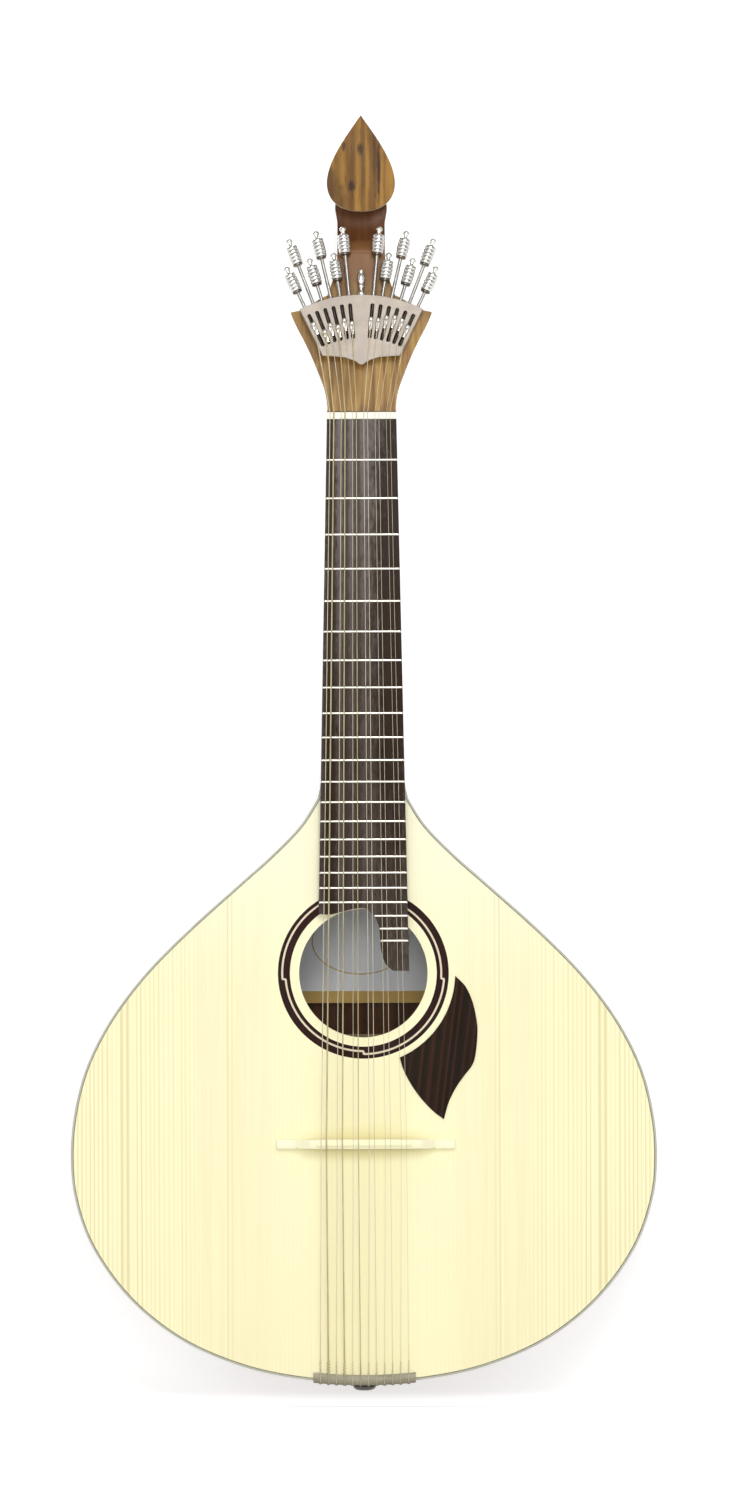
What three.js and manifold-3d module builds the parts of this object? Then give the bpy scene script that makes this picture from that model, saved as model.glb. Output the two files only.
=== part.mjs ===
import * as THREE from 'three';
import { mergeVertices } from 'three/addons/utils/BufferGeometryUtils.js';
import Module from 'manifold-3d';

// A Portuguese guitar: a pear-shaped body, a slotted fan of twelve tuning screws and six pairs
// of strings. Sizes are in millimetres. X runs to the treble side, Y from the strings to the
// back, and Z up to the head. The origin is on the centre line at the nut's front edge, on the
// flat face of the neck that the fretboard is glued to.

// Scale and neck
const scaleLength = 470;
const neckLength = 245;
const boardWidthAtNut = 45.1;
const boardWidthAtJoint = 54.9;
const boardThickness = 6;
const boardLength = 317;
const tongueLength = 40.7;
const fretCount = 22;
const fretWidth = 2;
const fretHeight = 0.9;
const fretSink = 0.2;
const neckThicknessAtNut = 17;
const neckThicknessAtHeel = 20;
const heelReach = 84;
const heelBlock = 18;
const heelCove = 46;
const heelFullness = 0.4;
const nutThickness = 4.6;
const nutHeight = 7.1;

// Body
const bodyLength = 380;
const bodyWidth = 380;
const soundboardThickness = 3;
const ribThickness = 2.5;
const backThickness = 3;
const rimDepthAtNeck = 66;
const rimDepthAtTail = 76;
const backDome = 9;
const backDomeFullness = 0.8;
const soundholeRadius = 41.6;
const soundholeDrop = 114.2;
const rosetteInnerRadius = 47.6;
const rosetteOuterRadius = 55.4;
const rosetteThickness = 1.2;
const neckBlockWidth = 50;
const neckBlockLength = 38;
const tailBlockWidth = 70;
const tailBlockLength = 20;
const braceWidth = 8;
const braceHeight = 14;
const braceEndHeight = 3;
const braceTaper = 40;
const braceEndGap = 2.5;
const topBraceUpperGap = 4;
const topBraceLowerShowing = 2;
const backBraceUpperDrop = 57;
const backBraceLowerDrop = 241;

// Pickguard, a leaf beside the rosette
const leafThickness = 0.8;
const leafMargin = 4.1;
const leafWidth = 50.3;
const leafLength = 92.9;
const leafTipDegrees = -1.8;
const leafCornerDegrees = -66.8;

// Bridge and saddle
const bridgeLength = 116;
const bridgeShift = 1.2;
const bridgeThickness = 5.2;
const bridgeHeight = 9.6;
const bridgeFootHeight = 3.2;
const bridgeArch = 1.8;
const bridgeEndThicknessShare = 0.8;
const saddleLength = 62;
const saddleThickness = 2.4;
const saddleHeight = 1.5;

// Tailpiece and strap button
const tailpieceWidth = 66.4;
const tailpieceThickness = 1.2;
const tailpieceLip = 6.2;
const tailpieceDepth = 24;
const tailPinRadius = 1;
const tailPinLength = 4;
const tailPinDepth = 11;
const buttonRadius = 7.4;
const buttonHeight = 5.4;
const buttonDepth = 38;

// Strings, in pairs from the bass side to the treble side
const stringDiameters = [0.48, 1, 0.41, 0.84, 0.33, 0.61, 0.41, 0.41, 0.3, 0.3, 0.25, 0.25];
const nutPairPitch = 7.3;
const nutPairSpread = 2.5;
const nutStringShift = -1;
const saddlePairPitch = 10.4;
const saddlePairSpread = 3.4;
const tailPitch = 5.2;

// Head
const headTiltDegrees = 12.5;
const headThickness = 15;
const wingHalfWidth = 45.8;
const wingTipAlong = 66;
const stemHalfWidth = 15.4;
const stemChamfer = 3.2;
const veneerThickness = 1.5;
const veneerLength = 102.9;
const veneerCrown = 4.5;
const dropLength = 64;
const dropWidth = 44.2;
const dropFront = 1.5;
const dropBack = 15;
const dropFaceThickness = 2;
const dropClearance = 10.4;
const stemLapOnWings = 6.2;
const stemLapInDrop = 20.6;

// Fan tuning machine: radii are measured from the point where the twelve slots would meet
const fanCentreDrop = 12.1;
const fanRadius = 88.1;
const fanCornerRadius = 53.7;
const fanHalfDegrees = 26.9;
const fanCornerDegrees = 27.8;
const fanCuspRadius = 41.4;
const fanBase = 1.2;
const fanWallHeight = 5.3;
const fanTopWall = 3.8;
const plateThickness = 1;
const slotDegrees = [-24.5, -20.6, -16.7, -12.8, -8.9, -5.1, 5.1, 8.9, 12.8, 16.7, 20.6, 24.5];
const slotEndDegrees = [-90, -45, 0, 45, 90];
const slotInnerRadius = 59.1;
const slotOuterRadius = 82.5;
const slotWidth = 2;
const slotWall = 1.2;

// Tuning screws and knobs
const screwHeight = 6;
const threadRadius = 1;
const shaftRadius = 1.15;
const collarRadius = 1.7;
const collarLength = 1;
const screwFoot = 2.4;
const longScrewReach = 134.9;
const shortScrewReach = 118.4;
const screwIsLong = [
  false, true, false, true, false, true, true, false, true, false, true, false,
];
const knobLength = 19.4;
const knobRadius = 4.05;
const knobRibs = 5;

// Sliding hooks: where each one's post stands at rest, as a radius of the fan
const hookRadii = [74.4, 66.9, 70.1, 67.7, 71.1, 68.6, 71.3, 71.3, 73.8, 75.3, 74.7, 72.1];
const hookBlockWidth = 3.4;
const hookBlockLength = 5;
const hookBlockHeight = 4.2;
const hookNeckWidth = 1.4;
const hookNeckLength = 3;
const hookTabWidth = 2.4;
const hookTabLength = 8;
const hookTabThickness = 0.8;
const hookPostRadius = 0.9;
const hookPostHeight = 1.8;
const hookBallRadius = 1.5;

// Finial on the fan's crown
const finialLength = 15;
const finialRadius = 2.6;

// Clearances and overruns
const seatGap = 0.2;
const runningGap = 0.3;
const blockGap = 0.4;
const overrun = 2;

// Round pieces' sides
const bodySteps = 36;
const holeSides = 48;
const neckSteps = 14;
const knobSides = 8;
const smallSides = 8;
const pinSides = 6;
const finialSides = 10;
const buttonSides = 16;
const backSteps = 8;
const braceSteps = 10;
const tailpieceSteps = 12;
const leafOuterSteps = 20;
const leafInnerSteps = 10;
const tongueSteps = 42;
const fanEdgeSteps = 12;
const fanArcSteps = 16;
const stringSides = 5;

// Outlines, as shares of the sizes named beside them

// Body side from the neck joint to the tail: half the width, and the length
const bodyOutlineShares = [
  [0.152, 0], [0.213, 0.048], [0.312, 0.099], [0.427, 0.15], [0.599, 0.227], [0.749, 0.303],
  [0.865, 0.38], [0.944, 0.457], [0.986, 0.534], [1, 0.61], [0.985, 0.687], [0.922, 0.772],
  [0.795, 0.858], [0.623, 0.926], [0.417, 0.971], [0.212, 0.993], [0, 1],
];
// Lower end of the fretboard, treble to bass: half the board's width, and the tongue's length
const tongueShares = [
  [0.68, 1], [0.54, 0.926], [0.457, 0.826], [0.4, 0.666], [0.38, 0.506], [0.36, 0.314],
  [0.32, 0.228], [0.257, 0.14], [0.12, 0.03], [-0.014, 0], [-0.215, 0.012], [-0.5, 0.06],
  [-0.757, 0.1], [-1, 0.086],
];
// Leaf: its outer side from the top tip to the bottom tip, then its inner side
const leafOuterShares = [
  [0.847, 0.072], [0.94, 0.181], [0.996, 0.325], [1, 0.426], [0.972, 0.562], [0.926, 0.63],
  [0.831, 0.696], [0.722, 0.781], [0.628, 0.884], [0.567, 1],
];
const leafInnerShares = [[0.441, 0.95], [0.284, 0.862], [0.145, 0.757], [0.042, 0.647]];
// Sections of the heel's cove, from the shaft down to the heel
const heelCoveShares = [0.3, 0.55, 0.75, 0.88, 0.96, 1];
// Head side from the nut to the wing tip: the wing's half width, and its height
const headSideShares = [
  [0.482, 0.003], [0.493, 0.11], [0.525, 0.23], [0.574, 0.332], [0.644, 0.453], [0.727, 0.592],
  [0.825, 0.735], [0.928, 0.876], [1, 0.995],
];
// Wing top from the tip to the stem: half the wing's width, and the wing's height
const wingRootShare = 1.17;
const wingTopShares = [[0.985, 1.03], [0.83, 1.076], [0.6, 1.13], [0.489, wingRootShare]];
// Teardrop from its foot to its widest point, and on to its tip: two bends with two handles
// each, as half its width and its length
const dropLowerShares = [[0.72, 0], [1, 0.14], [1, 0.294]];
const dropUpperShares = [[0.985, 0.53], [0.39, 0.8], [0, 1]];
// Stem: along its length, half width, and the front and back as shares of the head's thickness
const stemShares = [
  [0, 1.4, 0, 1], [0.064, 1.455, 0, 1], [0.193, 1.22, 0, 1], [0.314, 1.065, 0.01, 1.02],
  [0.405, 1.01, 0.06, 1.06], [0.5, 1, 0.3, 1.16], [0.619, 1, 0.47, 1.3], [0.748, 1, 0.54, 1.38],
  [0.857, 0.95, 0.5, 1.3], [1, 0.8, 0.3, 1.05],
];
// Hollow under the bridge: half its length, and the arch's height
const bridgeArchShares = [[0.6, 1], [0.7, 0]];
// Bridge top from its middle to its end: half its length, and its height above the foot
const bridgeTopShares = [[0.2, 1], [0.56, 1], [0.64, 0.86], [0.72, 0.42], [0.79, 0.1], [0.84, 0]];
// Lower edge of the fan from its corner to the cusp: half its width, and its rise above the cusp
const fanEdgeShares = [[0.56, 0.87], [0.4, 0.77], [0.17, 0.41], [0.06, 0.1]];
// Knob above its shaft: radius, and height, for the parts below and above the ribs
const knobCollarShares = [[0.72, 0], [0.72, 0.06], [0.64, 0.075]];
const knobRibStartShare = 0.09;
const knobRibEndShare = 0.7;
const knobValleyShare = 0.84;
const knobTopShares = [[0.33, 0.75], [0.33, 0.81], [0.52, 0.86], [0.52, 0.93], [0.28, 0.99], [0.1, 1]];
// Finial and strap button: radius, and height
const finialShares = [
  [1, 0], [1, 0.08], [0.5, 0.16], [0.5, 0.3], [0.78, 0.36], [0.52, 0.44], [0.96, 0.6],
  [0.96, 0.74], [0.5, 0.85], [0.62, 0.94], [0.3, 1],
];
const buttonShares = [[0.72, 0], [0.72, 0.2], [1, 0.42], [1, 0.6], [0.8, 0.85], [0.4, 1]];

// Places worked out from the sizes
const jointZ = -neckLength;
const tailZ = jointZ - bodyLength;
const soundholeZ = jointZ - soundholeDrop;
const headTilt = THREE.MathUtils.degToRad(headTiltDegrees);
const wingRoot = wingRootShare * wingTipAlong;
const dropFoot = longScrewReach - fanCentreDrop + dropClearance;
const stringFloorAtNut = nutHeight + runningGap;
const stringFloorAtSaddle = bridgeHeight + saddleHeight + runningGap;
const stringFloorAtTail = tailpieceThickness + seatGap + runningGap;
const fanFloor = veneerThickness + 2 * seatGap;
const fanWallTop = fanFloor + fanBase + fanWallHeight;
const plateFloor = fanWallTop + seatGap;
const plateTop = plateFloor + plateThickness;
const cavityOuterRadius = fanRadius - fanTopWall;
const cavityInnerRadius = slotInnerRadius - slotWall;
const hookTabFloor = plateTop + runningGap;
const hookTabTop = hookTabFloor + hookTabThickness;
const loopHeight = hookTabTop + hookPostHeight / 2;

const wasm = await Module();
wasm.setup();

// Geometry helpers

function closedGeometry(points, triangles) {
  const geometry = new THREE.BufferGeometry();
  geometry.setAttribute('position', new THREE.Float32BufferAttribute(points, 3));
  geometry.setIndex(triangles);
  return geometry;
}

function signedVolume(positions, index) {
  const [a, b, c] = [new THREE.Vector3(), new THREE.Vector3(), new THREE.Vector3()];
  let volume = 0;
  for (let i = 0; i < index.count; i += 3) {
    a.fromBufferAttribute(positions, index.getX(i));
    b.fromBufferAttribute(positions, index.getX(i + 1));
    c.fromBufferAttribute(positions, index.getX(i + 2));
    volume += a.dot(b.cross(c));
  }
  return volume;
}

// One closed solid with shared vertices, no collapsed faces, and its faces pointing out.
function sealed(geometry) {
  const bare = geometry.clone();
  bare.deleteAttribute('normal');
  bare.deleteAttribute('uv');
  const merged = mergeVertices(bare);
  const kept = [];
  for (let i = 0; i < merged.index.count; i += 3) {
    const corners = [0, 1, 2].map((k) => merged.index.getX(i + k));
    if (new Set(corners).size === corners.length) kept.push(corners);
  }
  merged.setIndex(kept.flat());
  if (signedVolume(merged.attributes.position, merged.index) < 0) {
    merged.setIndex(kept.map(([a, b, c]) => [a, c, b]).flat());
  }
  return merged;
}

function solidOf(geometry) {
  const closed = sealed(geometry);
  return new wasm.Manifold(new wasm.Mesh({
    numProp: 3,
    vertProperties: new Float32Array(closed.attributes.position.array),
    triVerts: new Uint32Array(closed.index.array),
  }));
}

function geometryOf(solid) {
  const mesh = solid.getMesh();
  return closedGeometry(Array.from(mesh.vertProperties), Array.from(mesh.triVerts));
}

function joined(geometries) {
  return geometries.map(solidOf).reduce((whole, piece) => whole.add(piece));
}

function cut(solid, geometries) {
  return geometries.map(solidOf).reduce((whole, piece) => whole.subtract(piece), solid);
}

// A skin over rings of points, with each end closed like a ladder from its first point to its last.
function loft(rings) {
  const count = rings[0].length;
  const triangles = [];
  rings.slice(1).forEach((ring, i) => {
    for (let j = 0; j < count; j += 1) {
      const a = i * count + j;
      const b = i * count + (j + 1) % count;
      triangles.push(a, b, b + count, a, b + count, a + count);
    }
  });
  const close = (start, flip) => {
    for (let low = 0, high = count - 1; low + 1 < high; low += 1, high -= 1) {
      const rungs = [[low, low + 1, high]];
      if (low + 1 < high - 1) rungs.push([low + 1, high - 1, high]);
      rungs.forEach(([a, b, c]) => {
        triangles.push(start + a, start + (flip ? c : b), start + (flip ? b : c));
      });
    }
  };
  close(0, true);
  close((rings.length - 1) * count, false);
  return sealed(closedGeometry(rings.flat().flatMap((p) => p.toArray()), triangles));
}

// A flat shape drawn in X and Z, as thick as the stretch of Y from front to back.
function slab(shape, front, back, curveSegments = smallSides) {
  const options = { depth: back - front, bevelEnabled: false, curveSegments };
  return new THREE.ExtrudeGeometry(shape, options)
    .rotateX(Math.PI / 2)
    .translate(0, back, 0);
}

function box(low, high) {
  return new THREE.BoxGeometry(high[0] - low[0], high[1] - low[1], high[2] - low[2]).translate(
    (low[0] + high[0]) / 2,
    (low[1] + high[1]) / 2,
    (low[2] + high[2]) / 2,
  );
}

// A round piece turned about the Z axis from a profile of radii and heights.
function turned(profile, sides) {
  const first = new THREE.Vector2(0, profile[0][1]);
  const last = new THREE.Vector2(0, profile[profile.length - 1][1]);
  const points = [first, ...profile.map(([r, z]) => new THREE.Vector2(r, z)), last];
  return sealed(new THREE.LatheGeometry(points, sides).rotateX(Math.PI / 2));
}

// A path of straight runs that gives one ring of a tube for each of its points.
class Route extends THREE.Curve {
  constructor(points) {
    super();
    this.points = points;
  }

  getPointAt(u, target = new THREE.Vector3()) {
    const along = u * (this.points.length - 1);
    const k = Math.min(Math.floor(along), this.points.length - 2);
    return target.lerpVectors(this.points[k], this.points[k + 1], along - k);
  }

  getTangentAt(u, target = new THREE.Vector3()) {
    const k = Math.round(u * (this.points.length - 1));
    const run = (i) => this.points[i + 1].clone().sub(this.points[i]).normalize();
    const before = k > 0 ? run(k - 1) : run(0);
    const after = k < this.points.length - 1 ? run(k) : run(k - 1);
    return target.copy(before).add(after).normalize();
  }
}

function tube(points, radius, sides) {
  const section = new THREE.Shape();
  for (let k = 0; k < sides; k += 1) {
    const angle = (2 * Math.PI * k) / sides;
    const corner = [radius * Math.cos(angle), radius * Math.sin(angle)];
    if (k === 0) section.moveTo(...corner);
    else section.lineTo(...corner);
  }
  const extrudePath = new Route(points);
  return sealed(new THREE.ExtrudeGeometry(section, { steps: points.length - 1, extrudePath }));
}

function shapeFrom(points) {
  return new THREE.Shape(points.map(([x, z]) => new THREE.Vector2(x, z)));
}

function mirrored(points) {
  return [...points].reverse().map(([x, z]) => [-x, z]);
}

// Even shares from -1 at one side to 1 at the other.
function sideToSide(steps) {
  return Array.from({ length: steps + 1 }, (_, i) => (2 * i) / steps - 1);
}

function smooth(points, steps) {
  const curve = new THREE.SplineCurve(points.map(([x, z]) => new THREE.Vector2(x, z)));
  return curve.getPoints(steps).map((p) => [p.x, p.y]);
}

// Body outline

const boardSlope = (boardWidthAtJoint - boardWidthAtNut) / neckLength;

function boardHalfWidth(z) {
  return (boardWidthAtNut - boardSlope * z) / 2;
}

// The treble side from the neck joint to the middle of the tail.
function bodySide() {
  const side = bodyOutlineShares.map(([w, l]) => [(w * bodyWidth) / 2, jointZ - l * bodyLength]);
  const whole = smooth([...side, ...mirrored(side).slice(1)], 2 * bodySteps);
  return whole.slice(0, bodySteps + 1).map(([x, z]) => new THREE.Vector2(x, z));
}

// The same side moved inward, still starting at the joint and ending on the centre line.
function insetSide(side, inset) {
  const last = side.length - 1;
  return side.map((point, i) => {
    const tangent = side[Math.min(i + 1, last)].clone().sub(side[Math.max(i - 1, 0)]);
    if (i === last) tangent.set(-1, 0);
    tangent.normalize();
    const moved = new THREE.Vector2(tangent.y, -tangent.x).multiplyScalar(inset).add(point);
    if (i === 0) moved.addScaledVector(tangent, (point.y - moved.y) / tangent.y);
    if (i === last) moved.x = 0;
    return moved;
  });
}

const side = bodySide();

function halfWidthAt(z) {
  const k = Math.max(1, side.findIndex((p) => p.y <= z));
  const share = (z - side[k - 1].y) / (side[k].y - side[k - 1].y);
  return THREE.MathUtils.lerp(side[k - 1].x, side[k].x, share);
}

// The height of the body's lower edge at a distance from the centre line.
function tailEdge(x) {
  const near = Math.abs(x);
  let k = side.length - 1;
  while (side[k - 1].x < near) k -= 1;
  const share = (near - side[k].x) / (side[k - 1].x - side[k].x);
  return THREE.MathUtils.lerp(side[k].y, side[k - 1].y, share);
}

function rimBack(z) {
  const share = (jointZ - z) / bodyLength;
  return soundboardThickness + THREE.MathUtils.lerp(rimDepthAtNeck, rimDepthAtTail, share);
}

// The inner face of the back, arched across the body and along it.
function backInner(x, z, halfWidth) {
  const archAcross = 1 - (x / halfWidth) ** 2;
  const archAlong = Math.sin((Math.PI * (jointZ - z)) / bodyLength);
  return rimBack(z) + backDome * archAcross * Math.max(0, archAlong) ** backDomeFullness;
}

// Body pieces

function rib(sign) {
  const inner = insetSide(side, ribThickness);
  return loft(side.map((outer, i) => [
    new THREE.Vector3(sign * outer.x, soundboardThickness, outer.y),
    new THREE.Vector3(sign * outer.x, rimBack(outer.y), outer.y),
    new THREE.Vector3(sign * inner[i].x, rimBack(inner[i].y), inner[i].y),
    new THREE.Vector3(sign * inner[i].x, soundboardThickness, inner[i].y),
  ]));
}

function ringShape(outer, inner) {
  const shape = new THREE.Shape().absarc(0, soundholeZ, outer, 0, 2 * Math.PI);
  shape.holes.push(new THREE.Path().absarc(0, soundholeZ, inner, 0, 2 * Math.PI));
  return shape;
}

function soundboard() {
  const edge = side.map((p) => [p.x, p.y]);
  const shape = shapeFrom([...edge, ...mirrored(edge).slice(1)]);
  const hole = new THREE.Shape().absarc(0, soundholeZ, soundholeRadius, 0, 2 * Math.PI);
  const groove = ringShape(rosetteOuterRadius + seatGap, rosetteInnerRadius - seatGap);
  const through = slab(hole, -overrun, soundboardThickness + overrun, holeSides / 2);
  const channel = slab(groove, -overrun, rosetteThickness, holeSides / 2);
  return geometryOf(cut(solidOf(slab(shape, 0, soundboardThickness)), [through, channel]));
}

function rosette() {
  return slab(ringShape(rosetteOuterRadius, rosetteInnerRadius), 0, rosetteThickness, holeSides / 2);
}

function backPlate() {
  return loft(side.slice(0, -1).map(({ x: halfWidth, y: z }) => {
    const inner = sideToSide(backSteps).map((share) => {
      const x = share * halfWidth;
      return new THREE.Vector3(x, backInner(x, z, halfWidth), z);
    });
    const outer = inner.map((p) => p.clone().setY(p.y + backThickness));
    return [...inner, ...outer.reverse()];
  }));
}

function neckBlock() {
  return box(
    [-neckBlockWidth / 2, soundboardThickness, jointZ - neckBlockLength],
    [neckBlockWidth / 2, rimBack(jointZ) - seatGap, jointZ],
  );
}

function tailBlock() {
  const foot = tailEdge(tailBlockWidth / 2) + ribThickness + seatGap;
  return box(
    [-tailBlockWidth / 2, soundboardThickness, foot],
    [tailBlockWidth / 2, rimBack(tailZ + tailBlockLength) - seatGap, foot + tailBlockLength],
  );
}

// A bar under the soundboard, thinned towards its ends.
function topBrace(z) {
  const reach = halfWidthAt(z + braceWidth / 2) - ribThickness - braceEndGap;
  const middle = reach - braceTaper;
  const shape = new THREE.Shape([
    new THREE.Vector2(-reach, soundboardThickness),
    new THREE.Vector2(reach, soundboardThickness),
    new THREE.Vector2(reach, soundboardThickness + braceEndHeight),
    new THREE.Vector2(middle, soundboardThickness + braceHeight),
    new THREE.Vector2(-middle, soundboardThickness + braceHeight),
    new THREE.Vector2(-reach, soundboardThickness + braceEndHeight),
  ]);
  return bar(shape, z);
}

// A bar along the arch of the back.
function backBrace(z) {
  const halfWidth = halfWidthAt(z + braceWidth / 2);
  const reach = halfWidth - ribThickness - braceEndGap;
  const middle = reach - braceTaper;
  const lift = seatGap + (braceWidth * (rimDepthAtTail - rimDepthAtNeck)) / bodyLength;
  const seat = sideToSide(braceSteps).map((share) => {
    const x = share * reach;
    return new THREE.Vector2(x, backInner(x, z, halfWidth) - lift);
  });
  const crest = backInner(0, z, halfWidth) - braceHeight;
  const ends = backInner(reach, z, halfWidth) - lift - braceEndHeight;
  const shape = new THREE.Shape([
    ...seat,
    new THREE.Vector2(reach, ends),
    new THREE.Vector2(middle, crest),
    new THREE.Vector2(-middle, crest),
    new THREE.Vector2(-reach, ends),
  ]);
  return bar(shape, z);
}

// A shape drawn in X and Y, made as long in Z as a brace is wide.
function bar(shape, z) {
  return new THREE.ExtrudeGeometry(shape, { depth: braceWidth, bevelEnabled: false })
    .translate(0, 0, z - braceWidth / 2);
}

function pickguard() {
  const reach = rosetteOuterRadius + leafMargin;
  const tip = THREE.MathUtils.degToRad(leafTipDegrees);
  const corner = THREE.MathUtils.degToRad(leafCornerDegrees);
  const left = reach * Math.cos(corner);
  const top = reach * Math.sin(tip);
  const place = ([across, down]) => [left + across * leafWidth, top - down * leafLength];
  const start = [reach * Math.cos(tip), top];
  const end = [left, reach * Math.sin(corner)];
  const outer = smooth([start, ...leafOuterShares.map(place)], leafOuterSteps);
  const tail = outer[outer.length - 1];
  const inner = smooth([tail, ...leafInnerShares.map(place), end], leafInnerSteps);
  const points = [...outer, ...inner.slice(1)].map(([x, z]) => [x, z + soundholeZ]);
  const shape = shapeFrom(points);
  shape.absarc(0, soundholeZ, reach, corner, tip);
  return slab(shape, -leafThickness, 0, holeSides / 4);
}

function bridge() {
  const half = bridgeLength / 2;
  const rise = bridgeHeight - bridgeFootHeight;
  const top = bridgeTopShares.map(([along, up]) => [along * half, bridgeFootHeight + up * rise]);
  const arch = bridgeArchShares.map(([along, up]) => [along * half, up * bridgeArch]);
  const right = [...arch, [half, 0], [half, bridgeFootHeight], ...top.reverse()];
  const shape = shapeFrom([...right, ...mirrored(right)]);
  const geometry = slab(shape, -bridgeThickness / 2, bridgeThickness / 2)
    .rotateX(Math.PI / 2)
    .translate(bridgeShift, 0, -scaleLength);
  return thinnedEnds(geometry, half);
}

// Narrows a bar across its length, from its middle to its ends.
function thinnedEnds(geometry, half) {
  const places = geometry.attributes.position;
  for (let i = 0; i < places.count; i += 1) {
    const out = Math.min(1, Math.abs(places.getX(i) - bridgeShift) / half);
    const share = THREE.MathUtils.lerp(1, bridgeEndThicknessShare, out);
    places.setZ(i, -scaleLength + (places.getZ(i) + scaleLength) * share);
  }
  return sealed(geometry);
}

function saddle() {
  return box(
    [-saddleLength / 2, -bridgeHeight - saddleHeight, -scaleLength - saddleThickness / 2],
    [saddleLength / 2, -bridgeHeight, -scaleLength + saddleThickness / 2],
  );
}

// A sheet bent over the tail: a lip on the soundboard, a plate down the ribs, and twelve pins.
function tailpiece() {
  const half = tailpieceWidth / 2;
  const stations = sideToSide(tailpieceSteps).map((share) => share * half);
  const strip = (front, back, up, down) => loft(stations.map((x) => [
    new THREE.Vector3(x, front, tailEdge(x) + up),
    new THREE.Vector3(x, back, tailEdge(x) + up),
    new THREE.Vector3(x, back, tailEdge(x) - down),
    new THREE.Vector3(x, front, tailEdge(x) - down),
  ]));
  const outside = seatGap + tailpieceThickness;
  const lip = strip(-outside, -seatGap, tailpieceLip, outside);
  const plate = strip(-outside, tailpieceDepth, -seatGap, outside);
  const pins = stringDiameters.map((_, i) => {
    const x = tailX(i);
    const length = tailPinLength + tailpieceThickness / 2;
    return new THREE.CylinderGeometry(tailPinRadius, tailPinRadius, length, pinSides)
      .rotateX(Math.PI / 2)
      .translate(x, tailPinDepth, tailEdge(x) - outside - tailPinLength / 2);
  });
  return geometryOf(joined([lip, plate, ...pins]));
}

function strapButton() {
  const profile = buttonShares.map(([r, h]) => [r * buttonRadius, h * buttonHeight]);
  return turned(profile, buttonSides)
    .rotateX(Math.PI)
    .translate(0, buttonDepth, tailZ - seatGap);
}

// Neck, head and fretboard

function fretboardShape() {
  const end = boardHalfWidth(-boardLength);
  const lower = tongueShares.map(([across, down]) => [across * end, -boardLength - down * tongueLength]);
  const tongueZ = -boardLength - tongueLength;
  const foot = [boardHalfWidth(tongueZ), tongueZ];
  return shapeFrom([
    [-boardWidthAtNut / 2, 0],
    ...smooth(lower, tongueSteps).reverse(),
    foot,
    [boardWidthAtNut / 2, 0],
  ]);
}

function fretZ(n) {
  return -scaleLength * (1 - 2 ** (-n / 12));
}

function fretboard() {
  const shape = fretboardShape();
  const board = solidOf(slab(shape, -boardThickness, 0));
  const crown = -boardThickness - fretHeight;
  const reach = boardWidthAtJoint;
  const bars = Array.from({ length: fretCount }, (_, i) => box(
    [-reach, crown, fretZ(i + 1) - fretWidth / 2],
    [reach, -boardThickness + fretSink, fretZ(i + 1) + fretWidth / 2],
  ));
  const trim = solidOf(slab(shape, crown - overrun, -boardThickness / 2));
  return geometryOf(board.add(joined(bars).intersect(trim)));
}

function nut() {
  return box([-boardWidthAtNut / 2, -nutHeight, 0], [boardWidthAtNut / 2, 0, nutThickness]);
}

// A section of the neck: flat in front and round behind, like half an ellipse where fullness
// is 1 and squarer as it falls.
function neckRing(z, halfWidth, depth, fullness = 1) {
  return Array.from({ length: neckSteps + 1 }, (_, k) => {
    const angle = (Math.PI * k) / neckSteps;
    const across = Math.sign(Math.cos(angle)) * Math.abs(Math.cos(angle)) ** fullness;
    const back = k === 0 || k === neckSteps ? 0 : depth * Math.sin(angle);
    return new THREE.Vector3(halfWidth * across, back, z);
  });
}

function shaftAndHeel() {
  const heelTop = jointZ + heelBlock;
  const coveTop = heelTop + heelCove;
  const shaftDepth = (z) => THREE.MathUtils.lerp(neckThicknessAtNut, neckThicknessAtHeel, z / coveTop);
  const rings = [nutThickness, 0, coveTop / 2, coveTop].map((z) => (
    neckRing(z, boardHalfWidth(Math.min(z, 0)), shaftDepth(Math.min(z, 0)))
  ));
  heelCoveShares.forEach((share) => {
    const z = coveTop - share * heelCove;
    const swell = 1 - Math.sqrt(1 - share ** 2);
    const depth = THREE.MathUtils.lerp(neckThicknessAtHeel, heelReach, swell);
    const fullness = THREE.MathUtils.lerp(1, heelFullness, share);
    rings.push(neckRing(z, boardHalfWidth(z), depth, fullness));
  });
  rings.push(neckRing(jointZ, boardHalfWidth(jointZ), heelReach, heelFullness));
  return loft(rings);
}

function headSide() {
  return headSideShares.map(([w, l]) => [w * wingHalfWidth, l * wingTipAlong]);
}

function headShape() {
  const rise = headSide();
  const right = [...rise, ...wingTopShares.map(([w, l]) => [w * wingHalfWidth, l * wingTipAlong])];
  return shapeFrom([...right, ...mirrored(right)]);
}

// The places along the head of the stem's sections, and their half widths.
function stemSide() {
  const [foot, top] = [wingRoot - stemLapOnWings, dropFoot + stemLapInDrop];
  return stemShares.map(([along, width]) => [
    width * stemHalfWidth,
    THREE.MathUtils.lerp(foot, top, along),
  ]);
}

function stem() {
  const sides = stemSide();
  return loft(stemShares.map(([, , front, back], i) => {
    const [half, z] = sides[i];
    const [near, far] = [front * headThickness, back * headThickness];
    return [
      [-half, near], [half, near], [half, far - stemChamfer], [half - stemChamfer, far],
      [-half + stemChamfer, far], [-half, far - stemChamfer],
    ].map(([x, y]) => new THREE.Vector3(x, y, z));
  }));
}

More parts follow.
